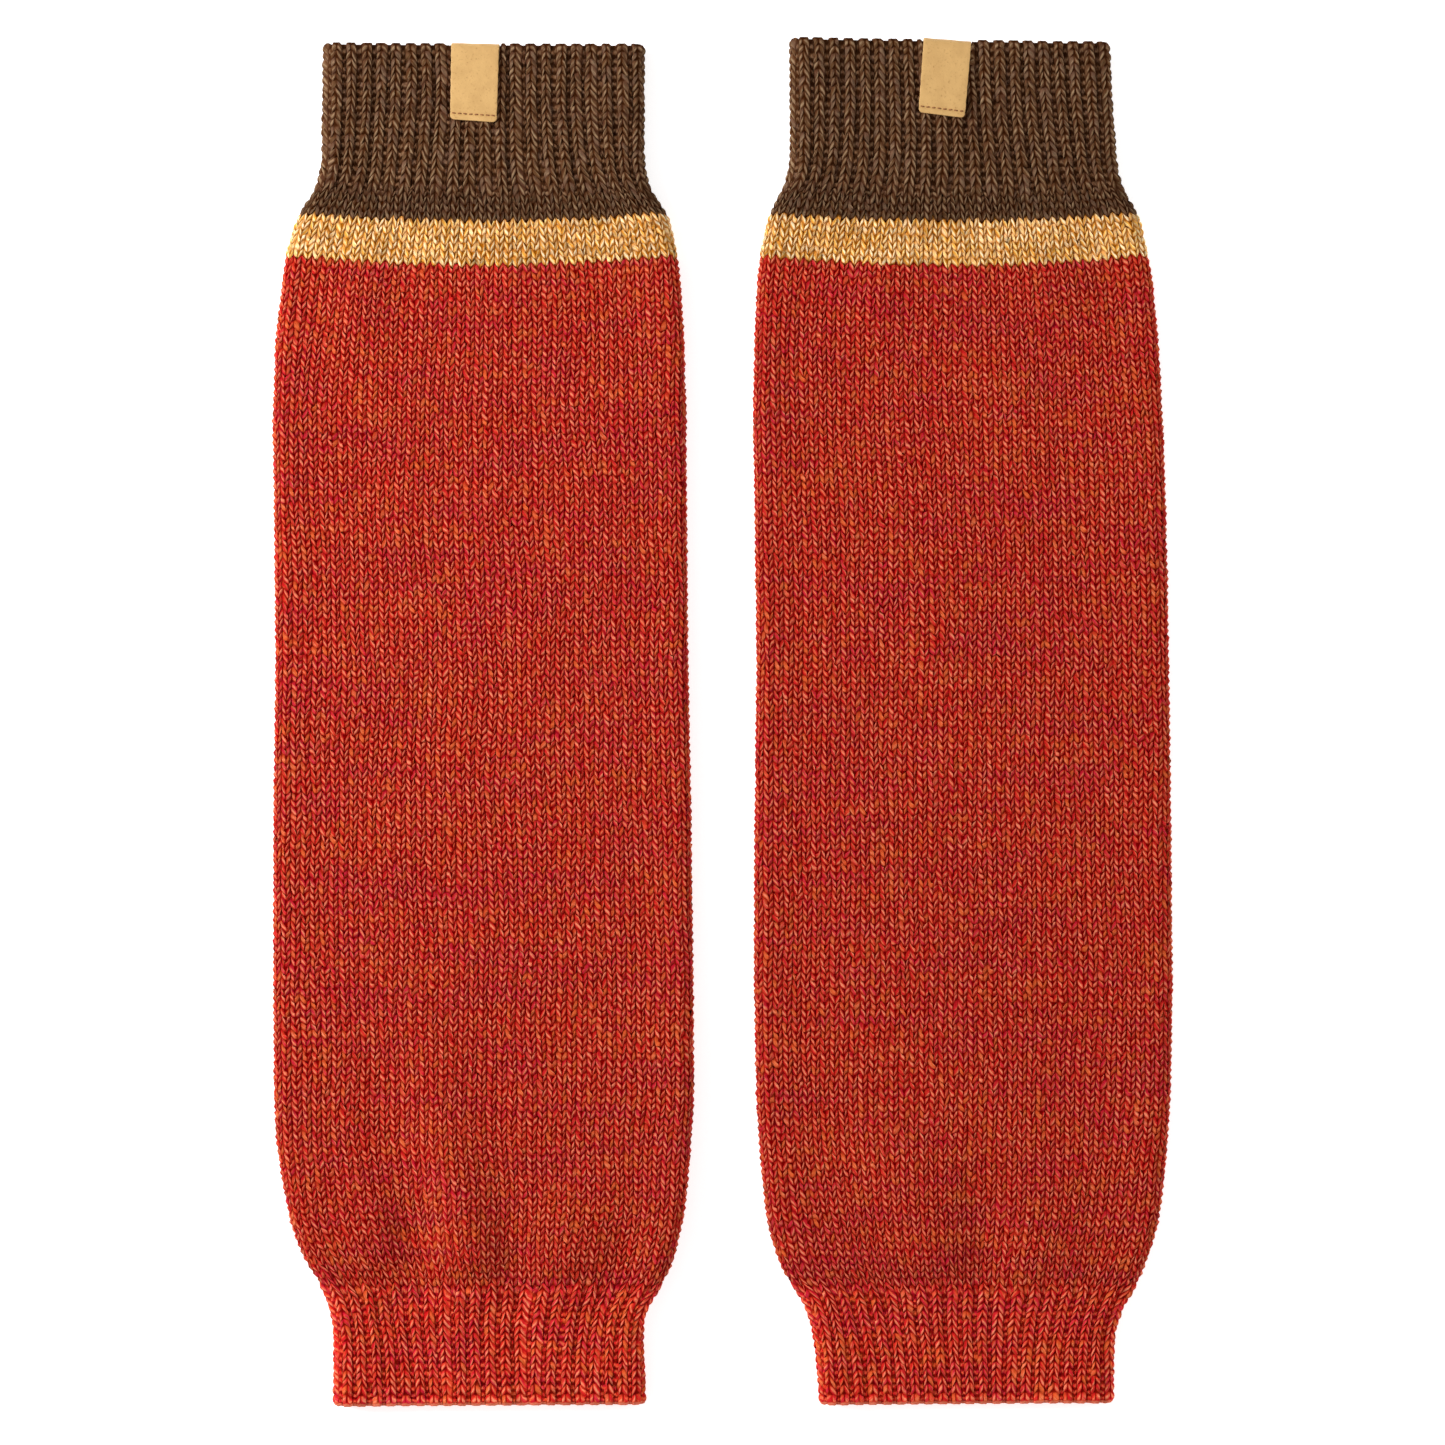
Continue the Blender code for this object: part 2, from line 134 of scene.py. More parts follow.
# A stitch is two slanting legs that meet at its top. Its four vertex columns stand in the
# gutter to its left, on its left leg, where the legs meet, and on its wider right leg.
COLUMNS = 4
STEPS, BACK_STEPS = 4, 2  # vertex rows to a row of stitches, and those on the leg's back
COLUMN_AT = (0.0, 0.22, 0.44, 0.72)
RIB_COLUMN_AT = (0.0, 0.18, 0.48, 0.80)
COLUMN_CLIMB = (0.0, 0.5, 1.0, 0.5)
LEG_CLIMB = 0.90  # rows that a leg climbs from the gutter to where the two meet
RIB_CLIMB = 1.35  # the legs climb this much more in rib
YARN_HEIGHT = (
    # for each vertex column: between two rows, then 1/4, 1/2 and 3/4 of the way up a row
    (0.05, 0.42, 0.60, 0.42),
    (0.34, 0.82, 0.96, 0.80),
    (0.00, 0.16, 0.26, 0.16),
    (0.38, 0.86, 1.00, 0.84),
)
RIB_YARN_HEIGHT = (
    (0.00, 0.22, 0.34, 0.22),
    (0.45, 0.84, 0.96, 0.84),
    (0.00, 0.36, 0.58, 0.38),
    (0.45, 0.86, 1.00, 0.86),
)
STITCH_DEPTH = 1.0  # mm from the lowest gap to the highest yarn
STITCH_SINK = 0.6  # mm that the lowest gap lies under the solid's face
KNIT_WIDEN = 0.48  # in rib a knit stitch is this much wider, a purl one narrower
KNIT_RISE = 0.8  # share of RIB_RISE that a knit stitch's legs stand out in rib
GUTTER_RISE = 0.45  # and the gutters beside them, which then sink by this many mm
GUTTER_SINK = 0.4
PURL_SINK_CUFF = 0.30  # mm that the purl gutters lie under the solid's face in rib
PURL_SINK_ANKLE = 0.05
PURL_BUMP = (0.0, 0.32, 0.45, 0.25)  # mm that the bars of the purl stitches stand out

# How uneven the knitting is, in wales, rows and shares of the yarn's height
SLIDE = 0.07
LOOSER_IN_RIB = 0.15
CLIMB_UNEVEN = 0.11
LIFT_UNEVEN = 0.09
DRIFT = 0.18  # how far wales wander
DRIFT_LESS_IN_RIB = 0.03
DRIFT_WAVES = (30.0, 120.0)  # mm, shortest and longest
DRIFT_FADE = 4.0  # wales beside the first one over which it fades out
RIB_BIAS = 0.065  # how far whole wales stand off their places in rib

# The yarn's shade and tone attribute: painted light and shade on the yarn, with some plain tone, as how
# light the yarn is beside 1 on the plain leg
PAINTED_LIGHT_KNIT = 0.12  # painted light: more on the knit legs of the rib, which stand out
PAINTED_LIGHT_RIB_REST = 0.05  # a little in its gutters, so they look shaded beside the knit legs
ANKLE_TONE = 0.22  # in the ankle's rib
PAINTED_LIGHT_LOWEST_ROWS = 0.10  # and painted light in its lowest rows
PLAIN_CUFF_TONE = 0.15  # less in the cuff's plain rows
PAINTED_SHADE_CREASE = 0.03  # and painted shade in the crease above the ankle
SHADE_AND_TONE_MOST = 1.5  # it lightens the yarn up to this value
PAINTED_LIGHT_RIM = 1.8  # and above it marks the ankle's edge, which is painted light
PAINTED_LIGHT_RIM_INSIDE = 1.3  # the edge's value on its inner side
INSIDE_SHARE = 0.6  # both attributes on the inside of the tube; the first darkens it with painted shade

LEFT_OUTLINE = (
    # height, reach left, reach right (mm)
    (0.0, 45.2, 50.8), (10.0, 45.2, 50.4), (21.0, 45.0, 49.7), (27.5, 45.6, 50.0),
    (33.8, 47.0, 52.5), (36.9, 48.3, 54.7), (40.0, 50.4, 57.0), (43.1, 52.7, 58.9),
    (49.4, 56.3, 60.9), (58.8, 59.5, 63.1), (71.3, 61.9, 64.7), (83.8, 63.8, 65.6),
    (96.3, 64.4, 66.5), (133.8, 64.8, 66.3), (183.8, 64.7, 65.6), (233.8, 64.1, 64.7),
    (283.8, 64.6, 64.2), (308.8, 65.0, 64.1), (333.8, 64.1, 63.4), (352.5, 61.9, 62.2),
    (358.8, 60.9, 61.4), (365.0, 59.6, 60.3), (371.3, 57.3, 58.8), (374.4, 55.9, 57.2),
    (377.5, 53.7, 55.0), (380.6, 51.4, 52.8), (383.8, 49.7, 51.0), (390.0, 48.7, 50.1),
    (430.0, 48.4, 50.3),
)
RIGHT_OUTLINE = (
    (0.0, 43.6, 46.5), (15.0, 44.7, 46.6), (21.0, 45.3, 46.7), (27.5, 46.7, 47.9),
    (33.8, 49.1, 50.5), (36.9, 50.8, 52.4), (40.0, 54.2, 54.9), (43.1, 55.9, 56.3),
    (49.4, 58.4, 58.6), (58.8, 60.9, 61.4), (71.3, 62.3, 62.9), (83.8, 63.4, 64.1),
    (96.3, 64.1, 65.0), (133.8, 64.9, 65.7), (183.8, 64.7, 65.2), (233.8, 64.1, 64.6),
    (283.8, 64.7, 63.6), (308.8, 65.2, 62.7), (333.8, 64.7, 61.2), (352.5, 63.8, 59.5),
    (358.8, 63.1, 58.3), (365.0, 62.1, 56.8), (371.3, 60.5, 55.5), (374.4, 59.3, 54.0),
    (377.5, 57.9, 52.3), (380.6, 55.8, 50.1), (383.8, 53.6, 48.3), (390.0, 52.8, 47.4),
    (408.0, 52.8, 46.2), (430.0, 52.9, 45.0),
)
OUTLINE_LEFT, OUTLINE_RIGHT = 1, 2  # their columns
BODY = (
    # height, thickness of the flat tube's middle, sag of its rows at the middle line (mm)
    (0.0, 6.2, 0.0), (20.0, 6.4, 0.0), (34.0, 7.4, 0.0), (39.0, 8.2, 0.0),
    (46.0, 8.6, 0.0), (60.0, 8.2, 0.0), (90.0, 6.8, 0.0), (150.0, 5.9, 0.0),
    (250.0, 5.8, 0.0), (290.0, 5.8, 0.6), (330.0, 6.0, 2.0), (360.0, 6.5, 2.8),
    (373.0, 6.7, 1.9), (383.0, 6.8, 1.2), (396.0, 6.7, 0.3), (410.0, 6.6, 0.0),
    (430.0, 6.6, 0.0),
)
BODY_THICK, BODY_SAG = 1, 2  # its columns
LEFT_FOLDS = (
    # foot across, foot height, tip across, tip height, half width, rise (mm)
    (0.2, 39.0, -27.0, 150.0, 10.0, 3.2),
    (10.5, 39.0, 4.5, 82.0, 6.5, -2.2),
    (-19.0, 39.0, -28.0, 76.0, 7.0, -2.3),
    (-18.0, 48.0, -39.0, 142.0, 9.0, -1.8),
    (-33.0, 39.0, -41.0, 76.0, 8.0, 1.0),
    (27.0, 39.0, 24.0, 84.0, 7.5, 1.5),
    (44.0, 39.0, 46.0, 82.0, 7.0, -1.9),
    (-35.0, 360.0, -38.0, 316.0, 9.0, 1.5),
    (9.5, 360.0, 8.0, 318.0, 10.0, 1.3),
)
RIGHT_FOLDS = (
    (-10.0, 39.0, -24.0, 112.0, 12.5, 1.9),
    (7.0, 39.0, 3.0, 96.0, 6.5, -1.8),
    (20.0, 39.0, 22.0, 80.0, 8.0, 1.2),
    (-36.0, 39.0, -42.0, 72.0, 8.0, 0.5),
    (-26.5, 360.0, -24.0, 318.0, 9.5, 1.3),
    (27.0, 360.0, 30.0, 314.0, 12.0, 1.5),
)
WARMERS = (
    # yarn_from is where in the yarn's pattern the tube begins, whole wales and rows apart
    SimpleNamespace(
        side="left", outline=LEFT_OUTLINE, folds=LEFT_FOLDS, number=0, yarn_from=(0.0, 0.0),
        rim_rise=-0.3, rim_tilt=-0.004, ankle_rise=0.7, ankle_tilt=0.007,
        label_across=-1.5, label_lean=1.3, label_lower=1.0),
    SimpleNamespace(
        side="right", outline=RIGHT_OUTLINE, folds=RIGHT_FOLDS, number=1, yarn_from=(200.0, 400.0),
        rim_rise=0.85, rim_tilt=-0.015, ankle_rise=1.2, ankle_tilt=0.008,
        label_across=-4.7, label_lean=4.6, label_lower=0.5),
)

# Floor, lights and camera
FLOOR_SIDE = 40.0  # m
FLOOR_BELOW = 0.2  # mm under the part
FLOOR_GREY = 0.93
FLOOR_GLOW = 0.6
WORLD_LIGHT = 0.345
LAMPS = (
    # name, watts, side (m), place (m)
    ("key", 16.0, 0.45, (-1.0, 0.30, 0.68)),
    ("fill", 8.0, 1.8, (1.3, -0.2, 1.4)),
    ("low", 2.0, 0.8, (1.1, 0.0, 0.32)),
)
PHOTO_SIDE = 1445  # px
PHOTO_SCALE = 0.3125  # mm to a pixel
SCALE_LEVEL = 3.5  # mm above the floor, where that scale holds
CAMERA_BELOW_MIDDLE = -0.1  # mm
LENS = 100.0  # mm
SENSOR = 36.0  # mm


def along(rows, column, height):
    """A column of a table at any height, softened over a few millimetres."""
    heights = [row[0] for row in rows]
    values = [row[column] for row in rows]
    nearby = np.linspace(-OUTLINE_SOFTEN, OUTLINE_SOFTEN, 5)
    return np.mean([np.interp(height + step, heights, values) for step in nearby], axis=0)


def clamp(value):
    """The value within 0 to 1."""
    return np.clip(value, 0.0, 1.0)


def eased(share):
    """A share of 0 to 1 that starts and ends level."""
    return share * share * (3.0 - 2.0 * share)


def fold_rise(folds, across, height):
    """Height that the soft folds add to the upper layer."""
    total = np.zeros(np.shape(across))
    for foot_x, foot_y, tip_x, tip_y, half_width, rise in folds:
        run = (height - foot_y) / (tip_y - foot_y)
        inside = clamp(run)
        ridge = foot_x + (tip_x - foot_x) * inside
        fade = 0.5 + 0.5 * np.cos(math.pi * inside)
        above_seam = clamp(np.abs(height - foot_y) / FOLD_START)
        fade = fade * (FOLD_AT_RIB + (1.0 - FOLD_AT_RIB) * eased(above_seam))
        into_rib = np.exp(-(np.minimum(run, 0.0) * (tip_y - foot_y) / FOLD_INTO_RIB) ** 2)
        spread = (across - ridge) / half_width
        total = total + rise * fade * into_rib * np.exp(-spread ** 2)
    return total


def waves(seed, across, height, shortest, longest, count=14):
    """Smooth, irregular values of about -1 to 1 from a few crossing waves."""
    rng = np.random.default_rng(seed)
    total = np.zeros(np.broadcast(across, height).shape)
    for _ in range(count):
        length = rng.uniform(shortest, longest)
        angle = rng.uniform(0.0, math.pi)
        phase = rng.uniform(0.0, 2.0 * math.pi)
        run = across * math.cos(angle) + height * math.sin(angle)
        total = total + np.sin(2.0 * math.pi * run / length + phase)
    return total / math.sqrt(count)


def level_at(rows):
    """Height above the ankle end (mm) of a row of stitches."""
    return np.interp(rows, ROW_NUMBERS, ROW_LEVELS)


def row_at(levels):
    """Row of stitches at a height above the ankle end (mm)."""
    return np.interp(levels, ROW_LEVELS, ROW_NUMBERS)


def rib_share(rows):
    """0 in plain knitting, 1 in rib, for a height given in rows."""
    ankle = clamp((RIB_TOP_OF_ANKLE - rows) / 1.5)
    cuff = clamp((rows - RIB_FOOT_OF_CUFF) / 2.0)
    return np.maximum(ankle, cuff)


def wale_spread(warmer, level):
    """How much wider the middle's wales stand, as they keep their course past narrow places."""
    heights, left, right = zip(*warmer.outline)
    widths = np.add(left, right)
    nearby = np.linspace(-SPREAD_REACH, SPREAD_REACH, 11)
    broad = np.mean([np.interp(level + step, heights, widths) for step in nearby], axis=0)
    return np.clip(broad / np.interp(level, heights, widths), *SPREAD_LIMITS)


def fold_radius(level):
    """Radius of the tube's side folds."""
    return 0.5 * (along(BODY, BODY_THICK, level) + FOLD_SWELL)


def place_of(warmer, wales, level):
    """Where a wale runs round the tube at a level, in quarter turns as skin() takes them."""
    outline = warmer.outline
    radius = fold_radius(level)
    top = along(outline, OUTLINE_LEFT, level) + along(outline, OUTLINE_RIGHT, level) - 2.0 * radius
    quarter = 0.5 * math.pi * radius
    wales = np.mod(wales, WALES)
    under = wales >= HALF_WALES
    run = np.where(under, wales - HALF_WALES, wales) / HALF_WALES * (top + 2.0 * quarter)
    across = clamp((run - quarter) / top) * 2.0 - 1.0
    across = across * (1.0 + (wale_spread(warmer, level) - 1.0) * (1.0 - np.abs(across) ** 3))
    place = np.where(run < quarter, run / quarter,
                     np.where(run < quarter + top, 1.5 + 0.5 * across,
                              2.0 + (run - quarter - top) / quarter))
    return place + np.where(under, 3.0, 0.0)


def skin(warmer, place, level, inset=0.0):
    """Points of a layer of the flat tube, inset from its outside.

    place runs clockwise seen from the ankle: 0 to 1 and 2 to 3 are the upper quarters of the
    left and right side folds, 1 to 2 the top, 3 to 4 and 5 to 6 the lower quarters, and
    4 to 5 the flat underside.
    """
    outline = warmer.outline
    radius = fold_radius(level)
    turn = clamp(place) + np.clip(place - 2.0, 0.0, 2.0) + clamp(place - 5.0)
    bend = turn * 0.5 * math.pi
    middle_share = clamp(place - 1.0) - clamp(place - 4.0)
    lateral = 2.0 * middle_share - 1.0

    sag = along(BODY, BODY_SAG, level)
    height = level - sag + sag * lateral ** 2
    left = -along(outline, OUTLINE_LEFT, height)
    right = along(outline, OUTLINE_RIGHT, height)
    centre_x = left + radius + (right - left - 2.0 * radius) * middle_share
    reach = radius - inset
    across = centre_x - reach * np.cos(bend)
    up = radius + reach * np.sin(bend)

    # the upper layer lies lower in the middle, and has the folds
    above = clamp((up - radius) / reach)
    edge = np.minimum(across - left, right - across) - radius
    settle = eased(clamp(edge / SWELL_WIDTH))
    up = up - above * FOLD_SWELL * (settle + SWELL_SOFTEN * (1.0 - settle))
    up = up + above * FOLD_GAIN * fold_rise(warmer.folds, across, height)
    if inset == 0.0:
        rise, shortest, longest = SURFACE_WAVES
        up = up + above * rise * waves(SEED + warmer.number, across, height, shortest, longest)

    # the rims run a little off square, and the label presses the cuff's down
    near_rim = clamp((level - RIB_END) / (LENGTH - RIB_END))
    height = height + near_rim * (warmer.rim_rise + warmer.rim_tilt * across)
    near_ankle = clamp(1.0 - level / ANKLE_SEAM)
    height = height + near_ankle * (warmer.ankle_rise + warmer.ankle_tilt * across)
    off_label = np.abs(across - warmer.label_across) - 0.5 * LABEL_WIDTH + RIM_DIP_MARGIN
    pressed = clamp(1.0 - off_label / RIM_DIP_MARGIN)
    height = height - near_rim ** 4 * RIM_DIP * pressed * above
    return np.stack([across, height, up], axis=-1)


def surface(warmer, wales, level, inset=0.0):
    """Points where wales run over the tube, inset from its outside."""
    return skin(warmer, place_of(warmer, wales, level), level, inset)


def unit(vectors):
    """The same directions at length 1."""
    return vectors / np.maximum(np.linalg.norm(vectors, axis=-1, keepdims=True), 1e-9)


def outward(warmer, wales, level):
    """Unit normals of the tube's outside."""
    step_w, step_l = 0.05, 0.2
    east = surface(warmer, wales + step_w, level)
    west = surface(warmer, wales - step_w, level)
    north = surface(warmer, wales, level + step_l)
    south = surface(warmer, wales, level - step_l)
    return unit(np.cross(east - west, north - south))


class Knit:
    """The knitted surface of one tube."""

    def __init__(self, warmer):
        self.warmer = warmer
        rng = np.random.default_rng(SEED + 100 + warmer.number)
        shape = (TOP_ROW + 4, WALES + 4, COLUMNS)
        self.lift = rng.normal(0.0, 1.0, shape)
        self.slide = rng.normal(0.0, 1.0, shape)
        self.climb = rng.normal(0.0, 1.0, shape)
        self.bias = rng.normal(0.0, 1.0, WALES)

    def vertices(self, columns, steps, per_row):
        """A grid's facts: which stitch each vertex belongs to, and where in the stitch it is."""
        columns, steps = np.meshgrid(columns, steps)
        wale, column = columns // COLUMNS, columns % COLUMNS
        row, phase = steps // per_row, (steps % per_row) / per_row
        rows = steps / per_row
        ring_wale = wale % WALES
        return SimpleNamespace(
            wale=wale, ring_wale=ring_wale, column=column, rows=rows,
            quarter=np.rint(phase * 4).astype(int) % 4,
            rib=rib_share(rows),
            purl=ring_wale % 2 == 1,
            gutter=column == 0,
            in_cuff=rows > MIDDLE_ROW,
            near=clamp(np.minimum(rows, TOP_ROW - rows) / END_EASE),
            crease=np.exp(-((rows - ANKLE_ROWS[1] - 0.3) / 0.6) ** 2),
            pick=(np.clip(row, 0, TOP_ROW), ring_wale, column))

    def wales_at(self, at):
        """Place across, in wales: knit stitches in rib spread over the purl ones."""
        share = np.array(COLUMN_AT)[at.column]
        share = share + (np.array(RIB_COLUMN_AT)[at.column] - share) * at.rib
        spread = np.where(at.purl, KNIT_WIDEN * 0.5, -KNIT_WIDEN * 0.5) * at.rib
        place = at.wale + share + (spread - 2.0 * spread * share)
        return place + SLIDE * self.slide[at.pick] * (1.0 + LOOSER_IN_RIB * at.rib)

    def levels_at(self, at):
        """Height in mm: the legs climb from the gutters to where they meet, purl rows lie level."""
        climb = np.array(COLUMN_CLIMB)[at.column] * LEG_CLIMB
        climb = climb * np.where(at.purl, 1.0 - at.rib, 1.0 + (RIB_CLIMB - 1.0) * at.rib)
        climb = climb + CLIMB_UNEVEN * self.climb[at.pick]
        return level_at(at.rows + climb * at.near - LEG_CLIMB * 0.5 * at.near)

    def drifted(self, at, place, level):
        """Wales that wander a little on their way up, alike on both sides of the first one."""
        round_place = np.mod(place, WALES)
        drift = waves(SEED + 7 + self.warmer.number, round_place * WALE_WIDE, level, *DRIFT_WAVES)
        drift = drift * clamp(np.minimum(round_place, WALES - round_place) / DRIFT_FADE)
        place = place + (DRIFT - DRIFT_LESS_IN_RIB * at.rib) * drift
        return place + RIB_BIAS * at.rib * self.bias[at.ring_wale]

    def yarn_rise(self, at):
        """How far the yarn stands out of the solid's face, in mm."""
        height = np.array(YARN_HEIGHT)[at.column, at.quarter]
        height = height + (np.array(RIB_YARN_HEIGHT)[at.column, at.quarter] - height) * at.rib
        height = height + LIFT_UNEVEN * self.lift[at.pick] * (height > 0.25)
        plain = STITCH_DEPTH * height - STITCH_SINK
        knit = plain + RIB_RISE * np.where(at.gutter, GUTTER_RISE, KNIT_RISE)
        purl = np.array(PURL_BUMP)[at.quarter] - np.where(at.in_cuff, PURL_SINK_CUFF, PURL_SINK_ANKLE)
        ribbed = np.where(at.gutter, knit - GUTTER_SINK, np.where(at.purl, purl, knit))
        return plain + (ribbed - plain) * at.rib - SEAM_CREASE * at.crease

    def points(self, columns, steps, per_row):
        """Points and shading shares of a grid, whose steps are per_row to a row of stitches."""
        at = self.vertices(columns, steps, per_row)
        level = self.levels_at(at)
        place = self.drifted(at, self.wales_at(at), level)
        base = surface(self.warmer, place, level)
        rise = self.yarn_rise(at)
        off_floor = clamp((base[..., 2] - RELIEF_FROM) / RELIEF_OVER)
        rise = np.where(rise > 0.0, rise * off_floor, rise)
        found = base + outward(self.warmer, place, level) * rise[..., None]

        # the ends of the ribs bulge past the gutters at both rims
        bulge = np.where(at.in_cuff, np.where(at.purl, *CUFF_BULGE), np.where(at.purl, *ANKLE_BULGE))
        away = np.where(at.in_cuff, 1.0, -1.0) * (1.0 - at.near)
        found[..., 1] += RIB_SCALLOP * bulge * at.rib * away
        found[..., 2] = np.maximum(found[..., 2], FLOOR_CLEAR)
        return found, np.stack([shade_and_tone_share(at), at.rib], axis=-1)


def shade_and_tone_share(at):
    """The shade and tone attribute of vertices: painted light and shade, with some plain tone."""
    shade_and_tone = 1.0 + at.rib * np.where(at.purl | at.gutter, PAINTED_LIGHT_RIB_REST, PAINTED_LIGHT_KNIT)
    shade_and_tone = shade_and_tone + ANKLE_TONE * at.rib * (at.rows < MIDDLE_ROW)
    shade_and_tone = shade_and_tone + PAINTED_LIGHT_LOWEST_ROWS * at.rib * (1.0 - clamp(at.rows / 1.2))
    shade_and_tone = shade_and_tone - np.where(at.rows > CUFF_ROWS[0], PLAIN_CUFF_TONE * (1.0 - at.rib), 0.0)
    return shade_and_tone * (1.0 - PAINTED_SHADE_CREASE * at.crease)


def grid_normals(points):
    """Unit normals of a grid of points, without those of its first and last column."""
    east = points[:, 2:] - points[:, :-2]
    north = np.gradient(points[:, 1:-1], axis=0)
    return unit(np.cross(east, north))


def new_mesh(warmer, name, points, shares, wrap, uv, bake_v, margin, normals=None):
    """A sheet of quads from a grid of points; wrap joins its last column to its first.

    uv has the wales and rows of its columns and rows, bake_v spreads the rows for baking.
    """
    rows, columns = points.shape[:2]
    across = columns if wrap else columns - 1
    r, c = np.meshgrid(np.arange(rows - 1), np.arange(across), indexing="ij")
    c_next = (c + 1) % columns
    low, high = r * columns, (r + 1) * columns
    corners = np.stack([low + c, low + c_next, high + c_next, high + c], axis=-1)
    count = r.size
    mesh = bpy.data.meshes.new(name)
    mesh.vertices.add(rows * columns)
    mesh.vertices.foreach_set("co", (points * MM).astype(np.float32).ravel())
    mesh.loops.add(count * 4)
    mesh.loops.foreach_set("vertex_index", corners.astype(np.int32).ravel())
    mesh.polygons.add(count)
    mesh.polygons.foreach_set("loop_start", np.arange(0, count * 4, 4, dtype=np.int32))
    mesh.update(calc_edges=True)

    yarn = [places + start for places, start in zip(uv, warmer.yarn_from)]
    bake = [bake_share(uv[0], margin), bake_share(bake_v, margin)]
    for layer_name, (u, v) in (("yarn", yarn), ("OFBake", bake)):
        places = np.stack([u[c], v[r], u[c + 1], v[r], u[c + 1], v[r + 1], u[c], v[r + 1]], axis=-1)
        layer = mesh.uv_layers.new(name=layer_name)
        layer.data.foreach_set("uv", places.astype(np.float32).ravel())
    mesh.uv_layers["yarn"].active_render = True
    mesh.uv_layers.active = mesh.uv_layers["yarn"]
    for number, attribute in enumerate(("shade_and_tone", "rib")):
        layer = mesh.attributes.new(attribute, "FLOAT", "POINT")
        layer.data.foreach_set("value", shares[..., number].astype(np.float32).ravel())
    mesh.shade_smooth()
    mesh.validate()
    if normals is not None:
        mesh.normals_split_custom_set_from_vertices(normals.reshape(-1, 3).tolist())
    return mesh


def new_object(name, data):
    """An object in the scene."""
    made = bpy.data.objects.new(name, data)
    bpy.context.scene.collection.objects.link(made)
    return made


def add_piece(mesh, material, origin, slot, *nodes):
    """A piece at its tube's place, riding on the body in place of CAD nodes."""
    mesh.materials.append(material)
    mesh.transform(Matrix.Translation(origin))
    piece = new_object(mesh.name, mesh)
    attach(piece, "root")
    if nodes:
        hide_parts(*nodes)
    return piece


def bake_share(values, margin):
    """Evenly spread values, moved to run from 0 to 1 within a margin."""
    values = np.asarray(values, dtype=float)
    return margin + (1.0 - 2.0 * margin) * (values - values[0]) / (values[-1] - values[0])


def inside_rings(warmer, levels, wales, wall):
    """Rings of points on the tube's inside, one for each level."""
    return np.array([surface(warmer, wales, np.full(wales.shape, level), wall) for level in levels])


def rounded_end(start, goal, away):
    """Rings of points over an end, from one ring to another, bulging away by millimetres."""
    rings = []
    for angle in np.linspace(0.0, math.pi, 6)[1:-1]:
        ring = start + (goal - start) * (0.5 - 0.5 * math.cos(angle))
        ring[:, 1] += away * math.sin(angle)
        rings.append(ring)
    return np.array(rings)


def weld_ends(mesh):
    """Joins the last ring of a closed piece to its first, which lies in the same place."""
    bm = bmesh.new()
    bm.from_mesh(mesh)
    bmesh.ops.remove_doubles(bm, verts=bm.verts[:], dist=1e-7)
    bm.to_mesh(mesh)
    bm.free()


def ring_piece(knit, name, rows, rim):
    """A closed ring of knitting: outside, inside and both ends.

    rim is +1 where its upper end is the tube's rim, -1 where its lower end is, else 0.
    """
    columns = np.arange(WALES * COLUMNS)
    steps = np.arange(rows[0] * STEPS, rows[1] * STEPS + 1)
    outer, shares = knit.points(columns, steps, STEPS)
    if rim < 0:
        shares[0, :, 0] = PAINTED_LIGHT_RIM
    levels = np.linspace(level_at(rows[1]), level_at(rows[0]), max(3, (rows[1] - rows[0]) // 3))
    inner = inside_rings(knit.warmer, levels, columns / COLUMNS, RIB_WALL if rim else LEG_WALL)

    # strips of rings down the piece's section: points, rows in the yarn's pattern, shares
    rim_step = 0.12
    strips = [(outer, steps / STEPS, shares)]
    if rim > 0:
        over = rounded_end(outer[-1], inner[0], RIM_BULGE)
        over_shares = np.repeat(shares[-1:] * 0.5 + 0.5, len(over), axis=0)
        strips.append((over, rows[1] + rim_step * np.arange(1, len(over) + 1), over_shares))
    strips.append((inner, row_at(levels), np.full((*inner.shape[:2], 2), INSIDE_SHARE)))
    if rim < 0:
        over = rounded_end(inner[-1], outer[0], -RIM_BULGE)
        over_shares = np.repeat(shares[:1] * 0.5 + 0.5, len(over), axis=0)
        over_shares[..., 0] = np.linspace(PAINTED_LIGHT_RIM_INSIDE, PAINTED_LIGHT_RIM, len(over))[:, None]
        strips.append((over, rows[0] - rim_step * np.arange(len(over), 0, -1), over_shares))
    strips.append((outer[:1], steps[:1] / STEPS, shares[:1]))
    points, v, shares = (np.concatenate(parts) for parts in zip(*strips))

    u = np.arange(WALES * COLUMNS + 1) / COLUMNS
    middle_line = points[:, HALF_WALES * COLUMNS // 2]
    ring_steps = np.maximum(np.linalg.norm(np.diff(middle_line, axis=0), axis=-1), 0.05)
    run = np.concatenate([[0.0], np.cumsum(ring_steps)])
    mesh = new_mesh(knit.warmer, name, points, shares, True, (u, v), run, 0.003)
    weld_ends(mesh)
    return mesh


